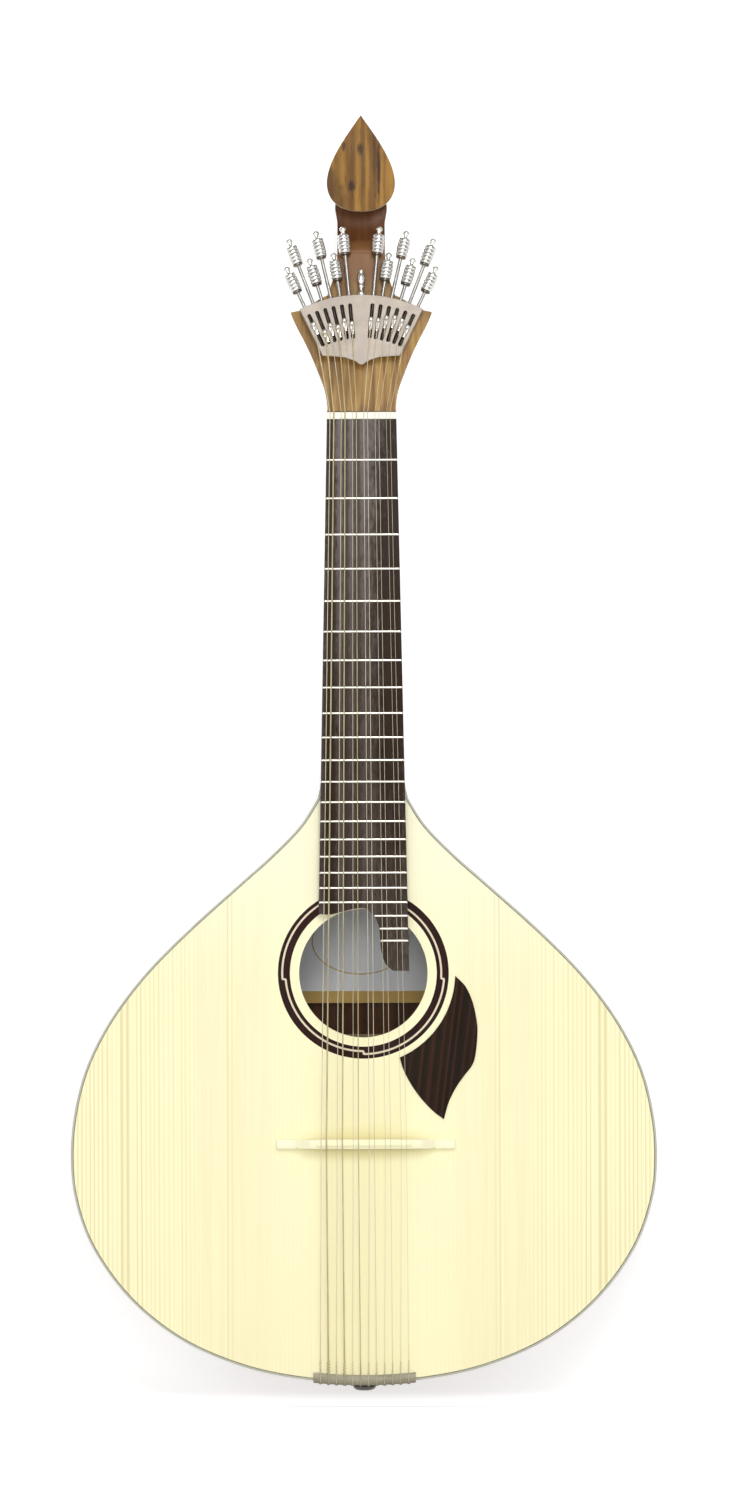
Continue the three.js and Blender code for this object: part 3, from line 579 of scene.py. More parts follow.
class Effect:
    """A shader group that several materials share, built once."""

    name = "effect"
    inputs: dict[str, float] = {}

    def tree(self) -> bpy.types.NodeTree:
        """Finds the group, or makes it at its first use.

        Returns:
            The group.
        """
        found = bpy.data.node_groups.get(self.name)
        if found:
            return found
        made = bpy.data.node_groups.new(self.name, "ShaderNodeTree")
        made.interface.new_socket("Vector", in_out="INPUT", socket_type="NodeSocketVector")
        for name, value in self.inputs.items():
            socket = made.interface.new_socket(name, in_out="INPUT", socket_type="NodeSocketFloat")
            socket.default_value = value
        graph = Graph(made)
        source = graph.node("NodeGroupInput")
        results = self.build(graph, {s.name: Term(graph, s) for s in source.outputs if s.name})
        for name in results:
            made.interface.new_socket(name, in_out="OUTPUT", socket_type="NodeSocketFloat")
        graph.node("NodeGroupOutput", results)
        return made

    def build(self, graph: Graph, given: dict[str, Term]) -> dict[str, Term]:
        """Fills the group.

        Args:
            graph: The group's graph.
            given: Its inputs by name.

        Returns:
            Its outputs by name.
        """
        raise NotImplementedError

    def use(self, graph: Graph, vector: Optional[Term] = None, **inputs: Value) -> dict[str, Term]:
        """Places the group in a material.

        Args:
            graph: The material's graph.
            vector: The place that it works on, if not the plain place on the piece.
            inputs: Its other inputs.

        Returns:
            Its outputs by name.
        """
        given = {"Vector": vector or graph.place(), **inputs}
        made = graph.node("ShaderNodeGroup", node_tree=self.tree())
        for name, value in given.items():
            graph.feed(made.inputs[name], value)
        return {s.name: Term(graph, s) for s in made.outputs}


class WoodGrain(Effect):
    """Growth lines, broad figure, fine fibre and pores, with the grain along Z."""

    name = "wood grain"
    inputs = {"Spacing": 0.003, "Waver": 0.004}

    def build(self, graph: Graph, given: dict[str, Term]) -> dict[str, Term]:
        """Fills the group.

        Args:
            graph: The group's graph.
            given: Its inputs by name.

        Returns:
            Its outputs by name.
        """
        x, y, z = graph.parts(given["Vector"])
        slow = graph.noise(graph.vector(x, y, z * 0.35), 14.0)
        across = (x + (slow - 0.5) * given["Waver"]) / given["Spacing"]
        deep = y * 90.0
        lines = graph.noise(graph.vector(across, deep, z * 1.6), 1.0, 1.5)
        figure = graph.noise(graph.vector(across * 0.22, deep, z * 5.0), 1.0, 3.0, 0.6)
        fibre = graph.noise(graph.vector(x * 2600.0, deep, z * 60.0), 1.0)
        pores = graph.noise(graph.vector(x * 1500.0, deep, z * 150.0), 1.0, 1.0).spread(0.62, 0.72)
        return {
            "Lines": lines.spread(0.3, 0.7), "Figure": figure.spread(0.32, 0.68), "Fibre": fibre,
            "Pores": pores, "Height": fibre * 0.5 - pores,
        }


class GrowthLines(Effect):
    """Thin lines along Z at a nearly even spacing, some darker than others."""

    name = "growth lines"
    inputs = {"Spacing": 0.003, "Waver": 1.0, "Sharpness": 4.0}

    def build(self, graph: Graph, given: dict[str, Term]) -> dict[str, Term]:
        """Fills the group.

        Args:
            graph: The group's graph.
            given: Its inputs by name.

        Returns:
            Its outputs by name.
        """
        x, _, z = graph.parts(given["Vector"])
        slow = graph.noise(graph.vector(x * 45.0, 0.0, z * 0.6), 1.0)
        turns = x / given["Spacing"] + slow * given["Waver"]
        wave = graph.math("SINE", turns * (2 * pi))
        ridge = graph.math("POWER", wave.spread(-1.0, 1.0), given["Sharpness"])
        near = graph.noise(graph.vector(turns * 0.83, 0.0, z * 0.9), 1.0)
        return {"Lines": ridge * near.spread(0.34, 0.62, 0.25, 1.0)}


class SpotMark(Effect):
    """One soft spot or streak at a given place, seen from the front: knots in wood, and marks of painted shade and
    painted reflection.
    """

    name = "knot"
    inputs = {"Across": 0.0, "Up": 0.0, "Width": 0.002, "Height": 0.004, "Ragged": 1.1}

    def build(self, graph: Graph, given: dict[str, Term]) -> dict[str, Term]:
        """Fills the group.

        Args:
            graph: The group's graph.
            given: Its inputs by name.

        Returns:
            Its outputs by name.
        """
        x, y, z = graph.parts(given["Vector"])
        aside = (x - given["Across"]) / given["Width"]
        above = (z - given["Up"]) / given["Height"]
        ragged = graph.noise(graph.vector(x, y, z * 0.3), 600.0, 3.0) - 0.5
        reach = graph.math("SQRT", aside * aside + above * above) + ragged * given["Ragged"]
        return {"Mark": reach.spread(0.35, 1.15, 1.0, 0.0)}


class Handling(Effect):
    """Smudges and soft patches from handling."""

    name = "handling"
    inputs = {"Scale": 30.0}

    def build(self, graph: Graph, given: dict[str, Term]) -> dict[str, Term]:
        """Fills the group.

        Args:
            graph: The group's graph.
            given: Its inputs by name.

        Returns:
            Its outputs by name.
        """
        wide = graph.noise(given["Vector"], given["Scale"], 3.0)
        fine = graph.noise(given["Vector"], given["Scale"] * 40.0, 1.0)
        return {"Patches": wide.spread(0.35, 0.65), "Specks": fine.spread(0.45, 0.75)}


class Brushing(Effect):
    """Fine parallel scratches along Z or round a turned piece."""

    name = "brushing"
    inputs = {"Fineness": 3000.0}

    def build(self, graph: Graph, given: dict[str, Term]) -> dict[str, Term]:
        """Fills the group.

        Args:
            graph: The group's graph.
            given: Its inputs by name.

        Returns:
            Its outputs by name.
        """
        x, y, z = graph.parts(given["Vector"])
        return {"Scratches": graph.noise(graph.vector(x * 40.0, y * 40.0, z * given["Fineness"]), 1.0)}


WOOD_GRAIN, GROWTH_LINES, SPOT_MARK = WoodGrain(), GrowthLines(), SpotMark()
HANDLING, BRUSHING = Handling(), Brushing()


# Finishes


class Paint(Graph):
    """The graph of one material, with its shader."""

    def __init__(self, material: bpy.types.Material) -> None:
        """Starts on a new material.

        Args:
            material: The material.
        """
        material.use_nodes = True
        super().__init__(material.node_tree)
        self.shader = self.tree.nodes["Principled BSDF"]

    def set(self, inputs: dict[str, Value]) -> None:
        """Sets the shader's inputs by name."""
        for name, value in inputs.items():
            self.feed(self.shader.inputs[name], value)

    def bump(self, height: Term, depth: float) -> None:
        """Gives the shader a relief, with its depth in metres."""
        inputs = {"Height": height, "Distance": depth, "Strength": 1.0}
        self.set({"Normal": self.first("ShaderNodeBump", inputs)})


@dataclass(frozen=True)
class Finish:
    """One material of the instrument and the record's slot that it stands for."""

    name: str
    slot: str

    def material(self) -> bpy.types.Material:
        """Finds the Blender material, or makes it at its first use.

        Returns:
            The material.
        """
        made = bpy.data.materials.get(self.name)
        if not made:
            made = bpy.data.materials.new(self.name)
            self.fill(Paint(made))
        return made

    def fill(self, paint: Paint) -> None:
        """Sets the shader's inputs.

        Args:
            paint: The material's graph.
        """
        raise NotImplementedError


@dataclass(frozen=True)
class Wood(Finish):
    """Wood with darker lines and streaks under a varnish."""

    pale: Colour
    dark: Colour
    streak: Colour
    spacing: float = 0.003
    waver: float = 0.004
    line_share: float = 0.6
    streak_share: float = 0.3
    pore_share: float = 0.4
    roughness: float = 0.45
    varnish: float = 0.0
    gloss: float = 0.5
    grain: Grain = Grain.UPRIGHT
    dark_marks: tuple[tuple[float, float, float, float, float], ...] = ()
    height_tint: Optional[tuple[float, float, Colour]] = None
    height_tint_depth: float = 0.026
    thin: Optional[tuple[float, float, Colour]] = None

    def fill(self, paint: Paint) -> None:
        """Sets the shader's inputs.

        Args:
            paint: The material's graph.
        """
        place = self.grain.place(paint)
        wood = WOOD_GRAIN.use(paint, place, Spacing=self.spacing, Waver=self.waver)
        touched = HANDLING.use(paint, Scale=25.0)
        body = paint.mix(wood["Lines"] * self.line_share, self.pale, self.dark)
        body = paint.mix(wood["Figure"].spread(0.45, 1.0) * self.streak_share, body, self.streak)
        if self.thin:
            spacing, share, colour = self.thin
            drawn = GROWTH_LINES.use(paint, place, Spacing=spacing, Waver=2.4, Sharpness=5.0)
            body = paint.mix(drawn["Lines"] * share, body, colour)
        body = paint.mix(wood["Fibre"].spread(0.2, 0.8, 0.0, 0.22), body, self.dark)
        pores = wood["Pores"] * self.pore_share
        body = paint.mix(pores, body, self.streak)
        # A tint on the front faces that grows along Z; on the fretboard it is a painted sheen towards the nut.
        if self.height_tint:
            start, end, colour = self.height_tint
            _, depth, up = paint.parts(paint.place())
            front = depth.spread(self.height_tint_depth, self.height_tint_depth + 0.003, 0.92, 0.0)
            body = paint.mix(front * up.spread(start, end), body, colour)
        # Dark marks: knots in the wood, and on the fretboard bands that paint its reflection.
        for across, up, width, height, strength in self.dark_marks:
            mark = SPOT_MARK.use(paint, Across=across, Up=up, Width=width, Height=height)["Mark"]
            body = paint.mix(mark * strength, body, self.streak)
        rough = touched["Patches"].spread(0.0, 1.0, self.roughness - 0.06, self.roughness + 0.06)
        paint.set({
            "Base Color": body, "Specular IOR Level": self.gloss, "Roughness": rough + pores * 0.2,
            "Coat Weight": self.varnish, "Coat Roughness": 0.18,
        })
        paint.bump(wood["Height"], 0.00003)


@dataclass(frozen=True)
class Spruce(Finish):
    """Straight pale grain whose growth lines show more towards the outer edges, with painted light: a paler upper
    bout, painted shade round the bridge and the strings' painted shadow below it.
    """

    cream: Colour
    amber: Colour
    shade: Colour
    light: Colour
    shadow_ochre: Colour
    tan: Colour
    roughness: float = 0.5
    inner_group: float = 0.0865
    dark_pair: Flat = (0.1532, 0.1566)

    def fill(self, paint: Paint) -> None:
        """Sets the shader's inputs.

        Args:
            paint: The material's graph.
        """
        place = Grain.BOOKMATCHED.place(paint)
        across, _, up = paint.parts(place)
        wide = GROWTH_LINES.use(paint, place, Spacing=0.0028, Waver=1.6, Sharpness=4.0)
        close = GROWTH_LINES.use(paint, place, Spacing=0.0013, Waver=3.0, Sharpness=1.5)
        tight = WOOD_GRAIN.use(paint, place, Spacing=0.0016, Waver=0.0008)
        touched = HANDLING.use(paint, Scale=7.0)
        inner = abs(across - self.inner_group).spread(0.001, 0.005, 0.4, 0.0)
        bold = wide["Lines"] * across.spread(0.1, 0.125, 0.07, 0.4).top(inner)
        for middle in self.dark_pair:
            bold = bold.top(abs(across - middle).spread(0.0003, 0.0013, 0.42, 0.0))
        bands = across.spread(0.05, 0.075) * across.spread(0.1, 0.122, 1.0, 0.0)
        bands = bands * tight["Figure"].spread(0.1, 0.9, 0.35, 0.85)
        # Painted shadow of the strings: the band between them below the bridge is tinted ochre.
        low = up.spread(-0.46, -0.4, 1.0, 0.0) * across.spread(0.022, 0.034, 0.22, 0.0)
        # Painted shade round the bridge: a soft lens there is tinted ochre.
        patch = SPOT_MARK.use(paint, Across=0.0012, Up=-0.4692, Width=0.048, Height=0.0118, Ragged=0.0)
        body = paint.mix(touched["Patches"] * 0.25, self.cream, self.shade)
        # The upper bout is mixed towards the light colour: painted light on the top.
        for share, colour in (
            (bands, self.shade), (up.spread(-0.37, -0.27, 0.0, 0.75), self.light), (low, self.shadow_ochre),
            (patch["Mark"] * 0.8, self.shadow_ochre),
            (close["Lines"] * across.spread(0.02, 0.15, 0.05, 0.1), self.amber),
            (bold, paint.mix(bold.spread(0.15, 0.5), self.amber, self.tan)),
        ):
            body = paint.mix(share, body, colour)
        rough = tight["Fibre"].spread(0.2, 0.8, self.roughness - 0.05, self.roughness + 0.05)
        paint.set({"Base Color": body, "Roughness": rough, "Specular IOR Level": 0.4})
        paint.bump(tight["Lines"], 0.000006)


@dataclass(frozen=True)
class Metal(Finish):
    """Metal with fine scratches and slightly duller patches."""

    tint: Colour
    dull: Colour
    roughness: float = 0.2
    scratch: float = 0.000001
    fineness: float = 4000.0
    metallic: float = 1.0
    unevenness: float = 0.22

    def fill(self, paint: Paint) -> None:
        """Sets the shader's inputs.

        Args:
            paint: The material's graph.
        """
        touched = HANDLING.use(paint, Scale=90.0)
        scratches = BRUSHING.use(paint, Fineness=self.fineness)["Scratches"]
        least, most = self.roughness * (1 - self.unevenness), self.roughness * (1 + self.unevenness)
        paint.set({
            "Base Color": paint.mix(touched["Patches"] * 0.6, self.tint, self.dull),
            "Roughness": scratches.spread(0.3, 0.7, least, most), "Metallic": self.metallic,
        })
        paint.bump(scratches, self.scratch)


@dataclass(frozen=True)
class Bone(Finish):
    """Polished bone with faint cloudy growth."""

    pale: Colour
    warm: Colour
    roughness: float = 0.32

    def fill(self, paint: Paint) -> None:
        """Sets the shader's inputs.

        Args:
            paint: The material's graph.
        """
        wood = WOOD_GRAIN.use(paint, Spacing=0.0016, Waver=0.003)
        touched = HANDLING.use(paint, Scale=120.0)
        body = paint.mix(touched["Patches"] * 0.5, self.pale, self.warm)
        paint.set({
            "Base Color": paint.mix(wood["Lines"] * 0.25, body, self.warm),
            "Roughness": touched["Specks"].spread(0.0, 1.0, self.roughness, self.roughness + 0.12),
            "Subsurface Weight": 0.08, "Subsurface Radius": (0.002, 0.0015, 0.001),
        })
        paint.bump(touched["Specks"], 0.000008)


@dataclass(frozen=True)
class Wire(Finish):
    """String wire, plain or with a fine winding along Z."""

    tint: Colour
    dark: Colour
    roughness: float = 0.3
    winding: float = 0.0

    def fill(self, paint: Paint) -> None:
        """Sets the shader's inputs.

        Args:
            paint: The material's graph.
        """
        touched = HANDLING.use(paint, Scale=60.0)
        body = paint.mix(touched["Patches"] * 0.5, self.tint, self.dark)
        if self.winding:
            turns = paint.parts(paint.place())[2] * (2 * pi / self.winding)
            ridge = paint.math("SINE", turns).spread(-1.0, 1.0)
            # The grooves between the turns are darkened: painted shade.
            body = paint.mix(paint.math("SUBTRACT", 1.0, ridge) * 0.55, body, self.dark)
            paint.bump(ridge, 0.00008)
        else:
            paint.bump(touched["Specks"], 0.000003)
        rough = touched["Specks"].spread(0.0, 1.0, self.roughness, self.roughness + 0.1)
        paint.set({"Base Color": body, "Roughness": rough, "Metallic": 0.45})


@dataclass(frozen=True)
class Paper(Finish):
    """Paper with faint fibres."""

    tint: Colour
    shade: Colour

    def fill(self, paint: Paint) -> None:
        """Sets the shader's inputs.

        Args:
            paint: The material's graph.
        """
        touched = HANDLING.use(paint, Scale=45.0)
        body = paint.mix(touched["Patches"] * 0.6, self.tint, self.shade)
        body = paint.mix(touched["Specks"] * 0.12, body, self.shade)
        paint.set({"Base Color": body, "Roughness": touched["Specks"].spread(0.0, 1.0, 0.7, 0.9)})
        paint.bump(touched["Specks"], 0.00002)


@dataclass(frozen=True)
class Lacquer(Finish):
    """Dyed strip under varnish, for bindings and inlaid lines."""

    tint: Colour
    shade: Colour
    roughness: float = 0.4

    def fill(self, paint: Paint) -> None:
        """Sets the shader's inputs.

        Args:
            paint: The material's graph.
        """
        wood = WOOD_GRAIN.use(paint, Spacing=0.002, Waver=0.004)
        body = paint.mix(wood["Lines"] * 0.5, self.tint, self.shade)
        rough = wood["Fibre"].spread(0.2, 0.8, self.roughness - 0.06, self.roughness + 0.06)
        paint.set({"Base Color": body, "Roughness": rough})
        paint.bump(wood["Fibre"], 0.000008)


SPRUCE = Spruce(
    "spruce top", "spruce", cream=(0.985, 0.935, 0.6), amber=(0.68, 0.58, 0.27), shade=(0.93, 0.85, 0.54),
    light=(0.965, 0.945, 0.71), shadow_ochre=(0.84, 0.745, 0.37), tan=(0.6, 0.42, 0.09),
)
INNER_WOOD = Wood(
    "bare inner wood", "inner_wood", (0.5, 0.38, 0.24), (0.36, 0.25, 0.14), (0.3, 0.2, 0.1),
    spacing=0.002, roughness=0.7,
)
# A darker copy of the inner wood for the lower brace: painted shade inside the body.
SHADED_BRACE_WOOD = replace(
    INNER_WOOD, name="shaded brace wood", gloss=0.15,
    pale=(0.16, 0.125, 0.08), dark=(0.12, 0.09, 0.055), streak=(0.1, 0.07, 0.04),
)
ROSEWOOD = Wood(
    "rosewood board", "rosewood", (0.12, 0.096, 0.083), (0.055, 0.04, 0.034), (0.022, 0.011, 0.006),
    spacing=0.0022, line_share=0.8, streak_share=0.6, pore_share=0.6, gloss=0.05,
    # Painted sheen: the board grows paler and greyer towards the nut.
    height_tint=(-0.24, 0.02, (0.2, 0.175, 0.165)), dark_marks=(
        # Painted reflection: dark bands leave paler streaks on the bass side and darken the treble side.
        (-0.0205, -0.15, 0.0055, 0.7, 0.8), (-0.0105, -0.15, 0.003, 0.7, 0.6),
        (-0.003, -0.15, 0.003, 0.7, 0.55), (0.0205, -0.12, 0.0195, 0.28, 0.88),
    ),
)
LEAF_WOOD = Wood(
    "rosewood leaf", "rosewood", (0.022, 0.012, 0.007), (0.011, 0.007, 0.004), (0.06, 0.022, 0.013),
    spacing=0.0045, waver=0.003, line_share=0.8, streak_share=0.12, pore_share=0.1,
    gloss=0.06, grain=Grain.LEANING, thin=(0.0058, 0.5, (0.075, 0.027, 0.017)),
)
RING_WOOD = Wood(
    "rosewood ring", "rosewood", (0.036, 0.013, 0.011), (0.018, 0.007, 0.006), (0.01, 0.004, 0.004),
    spacing=0.002, gloss=0.06,
)
RIM_WOOD = Wood(
    "rib wood", "ribs_wood", (0.23, 0.095, 0.035), (0.12, 0.045, 0.016), (0.06, 0.02, 0.008), spacing=0.006,
    line_share=0.7, streak_share=0.5, roughness=0.3, varnish=0.4, gloss=0.4, grain=Grain.AROUND,
)
BACK_WOOD = replace(RIM_WOOD, name="back wood", spacing=0.007, grain=Grain.BOOKMATCHED)
INNER_BACK = Wood(
    "inner face of the back", "ribs_wood", (0.12, 0.045, 0.016), (0.045, 0.018, 0.008), (0.022, 0.01, 0.005),
    spacing=0.006, waver=0.003, line_share=0.9, streak_share=0.5, roughness=0.6, gloss=0.2,
)
NECK_WOOD = Wood(
    "neck wood", "neck_wood", (0.16, 0.06, 0.018), (0.09, 0.03, 0.01), (0.055, 0.018, 0.006),
    spacing=0.004, streak_share=0.45, roughness=0.36, varnish=0.05, gloss=0.2,
)
HEAD_WOOD = replace(NECK_WOOD, name="head wood", height_tint=(0.03, 0.1, (0.19, 0.09, 0.036)))
BLOCK_WOOD = replace(NECK_WOOD, name="end block wood", slot="inner_wood", roughness=0.5, varnish=0.0)
STEM_WOOD = replace(
    NECK_WOOD, name="stem wood", pale=(0.14, 0.052, 0.017), dark=(0.08, 0.027, 0.009), streak=(0.05, 0.016, 0.006),
    gloss=0.16, height_tint=(0.132, 0.106, (0.22, 0.098, 0.034)),
)
CAP_WOOD = Wood(
    "heel cap wood", "rosewood", (0.13, 0.052, 0.019), (0.075, 0.028, 0.011), (0.04, 0.015, 0.006),
    line_share=0.8, streak_share=0.5, roughness=0.4, varnish=0.05, gloss=0.2,
)
FACE_WOOD = Wood(
    "head face wood", "face_wood", (0.51, 0.31, 0.085), (0.255, 0.125, 0.022), (0.1, 0.04, 0.01),
    spacing=0.0042, waver=0.006, line_share=1.0, streak_share=0.5, pore_share=0.35, roughness=0.38, varnish=0.05,
    gloss=0.18, height_tint=(0.074, 0.096, (0.2, 0.088, 0.027)), thin=(0.0068, 0.6, (0.12, 0.05, 0.012)),
)
DROP_WOOD = Wood(
    "teardrop wood", "face_wood", (0.4, 0.205, 0.034), (0.15, 0.065, 0.01), (0.03, 0.01, 0.004),
    spacing=0.0055, waver=0.016, line_share=0.95, streak_share=0.6, roughness=0.36, varnish=0.05,
    gloss=0.1, thin=(0.0075, 0.6, (0.06, 0.022, 0.006)), dark_marks=(
        (-0.0002, 0.1756, 0.0026, 0.005, 0.8), (-0.0061, 0.1519, 0.0034, 0.0045, 0.9),
        (-0.011, 0.1779, 0.0016, 0.004, 0.75), (0.0116, 0.162, 0.0013, 0.024, 0.9),
    ),
)
BONE = Bone("bone", "bone", (0.92, 0.92, 0.74), (0.87, 0.85, 0.62))
SADDLE_BONE = Bone("saddle bone", "bone", (0.96, 0.93, 0.62), (0.93, 0.88, 0.53))
BRIDGE_BONE = Bone("bridge bone", "bone", (0.96, 0.93, 0.68), (0.92, 0.88, 0.58))
NICKEL = Metal(
    "satin nickel", "nickel", (0.4, 0.347, 0.293), (0.315, 0.273, 0.236), 0.5, metallic=0.5,
    scratch=0.0000001, fineness=700.0, unevenness=0.04,
)
CHROME = Metal("polished chrome", "chrome", (0.78, 0.765, 0.73), (0.66, 0.645, 0.61), 0.24)
ROD_STEEL = Metal(
    "plain steel rod", "chrome", (0.4, 0.385, 0.36), (0.33, 0.32, 0.3), 0.36,
    scratch=0.0000001, fineness=900.0, unevenness=0.1,
)
COLLAR_STEEL = Metal("dark collar", "chrome", (0.2, 0.17, 0.14), (0.12, 0.1, 0.085), 0.3)
# Blackened steel, darker also to paint the shade in the slots where the threads show.
DARK_STEEL = Metal("blackened steel with painted slot shade", "chrome", (0.16, 0.13, 0.11), (0.07, 0.06, 0.055), 0.35)
FRET_METAL = Metal("fret wire", "chrome", (0.84, 0.8, 0.72), (0.74, 0.7, 0.6), 0.26)
TAIL_METAL = Metal("dull bent sheet", "tail_metal", (0.26, 0.24, 0.17), (0.2, 0.19, 0.135), 0.5, metallic=0.6)
BUTTON_METAL = Metal("dark button", "button_metal", (0.16, 0.15, 0.14), (0.08, 0.08, 0.075), 0.08)
BRASS = Wire("twisted ends", "string_wire", (0.82, 0.68, 0.5), (0.5, 0.38, 0.25))
PLAIN_WIRE = Wire("plain wire", "string_wire", (0.66, 0.61, 0.46), (0.5, 0.45, 0.3), 0.4)
WOUND_WIRE = Wire("wound wire", "string_wire", (0.7, 0.62, 0.36), (0.42, 0.35, 0.17), 0.4, winding=0.00036)
BINDING = Lacquer("binding", "tail_metal", (0.5, 0.5, 0.41), (0.42, 0.42, 0.33))
PURFLING = Lacquer("purfling", "tail_metal", (0.25, 0.21, 0.15), (0.16, 0.14, 0.1))
CREAM_LINE = Lacquer("cream line", "spruce", (0.74, 0.65, 0.47), (0.62, 0.52, 0.34))
# A pale layer under the teardrop veneer; its edge paints the highlight on the teardrop's lower rim.
DROP_RIM_HIGHLIGHT = Lacquer("teardrop rim highlight", "face_wood", (0.62, 0.52, 0.36), (0.5, 0.4, 0.26))
BACK_LINE = Lacquer("back line", "spruce", (0.5, 0.4, 0.25), (0.4, 0.3, 0.17))
LABEL_PAPER = Paper("label paper", "bone", (0.94, 0.96, 0.97), (0.86, 0.88, 0.89))
LABEL_BAND = Paper("label band", "bone", (0.68, 0.45, 0.14), (0.58, 0.38, 0.11))
LABEL_LINE = Paper("label line", "bone", (0.6, 0.44, 0.17), (0.5, 0.36, 0.13))


def dress_solid(node: str, finish: Finish) -> None:
    """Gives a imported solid, kept as it is, its finish.

    Args:
        node: The solid's name.
        finish: Its finish.
    """
    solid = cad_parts[node]
    if not solid.material_slots:
        solid.data.materials.append(finish.material())
    for holder in solid.material_slots:
        holder.material = finish.material()
    LOG.info("%s kept: %s", node, finish.name)


# The instrument's sizes, as in the solids


@dataclass(frozen=True)
class Sizes:
    """Sizes that more than one sub-assembly shares, in millimetres."""

    scale_length: float = 470
    neck_length: float = 245
    board_width_at_nut: float = 45.1
    board_width_at_joint: float = 54.9
    board_thickness: float = 6
    board_length: float = 317
    tongue_length: float = 40.7
    nut_thickness: float = 4.6
    nut_height: float = 7.1
    body_length: float = 380
    body_width: float = 380
    soundboard_thickness: float = 3
    rib_thickness: float = 2.5
    back_thickness: float = 3
    rim_depth_at_neck: float = 66
    rim_depth_at_tail: float = 76
    soundhole_radius: float = 41.6
    soundhole_drop: float = 114.2
    bridge_height: float = 9.6
    saddle_height: float = 1.5
    head_tilt: float = 12.5
    fan_centre_drop: float = 12.1
    seat_gap: float = 0.2
    running_gap: float = 0.3
    tailpiece_thickness: float = 1.2
    tailpiece_lip: float = 5.2

    @property
    def joint(self) -> float:
        """The body's upper end in Z."""
        return -self.neck_length

    @property
    def tail(self) -> float:
        """The body's lower end in Z."""
        return self.joint - self.body_length

    @property
    def soundhole(self) -> float:
        """The soundhole's centre in Z."""
        return self.joint - self.soundhole_drop

    @property
    def heel_back(self) -> float:
        """The back's outer face at the joint, in Y."""
        return self.rim_back(self.joint) + self.back_thickness

    @property
    def head_place(self) -> Matrix:
        """The head's frame, tilted back behind the nut."""
        return at(0, 0, self.nut_thickness, -self.head_tilt)

    @property
    def fan_place(self) -> Matrix:
        """The frame of the fan, at the point where its slots would meet."""
        return self.head_place @ at(0, 0, -self.fan_centre_drop)

    def tuner_place(self, bearing: float) -> Matrix:
        """The frame of one tuning screw."""
        return self.fan_place @ Matrix.Rotation(radians(bearing), 4, "Y")

    def board_half(self, z: float) -> float:
        """Half of the fretboard's width at a place along the neck."""
        slope = (self.board_width_at_joint - self.board_width_at_nut) / self.neck_length
        return (self.board_width_at_nut - slope * z) / 2

    def rim_back(self, z: float) -> float:
        """Where the ribs end at the back."""
        growth = (self.joint - z) / self.body_length * (self.rim_depth_at_tail - self.rim_depth_at_neck)
        return self.soundboard_thickness + self.rim_depth_at_neck + growth


SIZES = Sizes()
BODY_SHARES = (
    (0.152, 0), (0.213, 0.048), (0.312, 0.099), (0.427, 0.15), (0.599, 0.227), (0.749, 0.303),
    (0.865, 0.38), (0.944, 0.457), (0.986, 0.534), (1, 0.61), (0.985, 0.687), (0.922, 0.772),
    (0.795, 0.858), (0.623, 0.926), (0.417, 0.971), (0.212, 0.993), (0, 1),
)
BODY_STEPS = 128


def whole(side: Sequence[Flat]) -> list[Flat]:
    """Both sides of the body as one outline."""
    return [*side, *mirrored(side)[1:]]


def body_side() -> list[Flat]:
    """The treble side of the body from the neck joint to the middle of the tail."""
    side = scaled(BODY_SHARES, SIZES.body_width / 2, -SIZES.body_length, 0, SIZES.joint)
    return spline(whole(side), 2 * BODY_STEPS)[: BODY_STEPS + 1]


SIDE = body_side()


def inset_side(inset: float) -> list[Flat]:
    """Moves the body's side inward, still starting at the joint and ending on the centre line.

    Args:
        inset: How far it moves.

    Returns:
        The moved side.
    """
    last = len(SIDE) - 1
    moved = []
    for i, (x, z) in enumerate(SIDE):
        (ax, az), (bx, bz) = SIDE[max(i - 1, 0)], SIDE[min(i + 1, last)]
        along = Vector((-1, 0)) if i == last else Vector((bx - ax, bz - az)).normalized()
        new_x, new_z = x + along.y * inset, z - along.x * inset
        if i == 0:
            slip = (z - new_z) / along.y
            new_x, new_z = new_x + along.x * slip, z
        moved.append((0.0 if i == last else new_x, new_z))
    return moved


def tail_edge(x: float) -> float:
    """Finds the height of the body's lower edge.

    Args:
        x: The distance from the centre line.

    Returns:
        The height in Z.
    """
    k = len(SIDE) - 1
    while SIDE[k - 1][0] < abs(x):
        k -= 1
    (ax, az), (bx, bz) = SIDE[k], SIDE[k - 1]
    return az + (bz - az) * (abs(x) - ax) / (bx - ax)


# Sub-assemblies


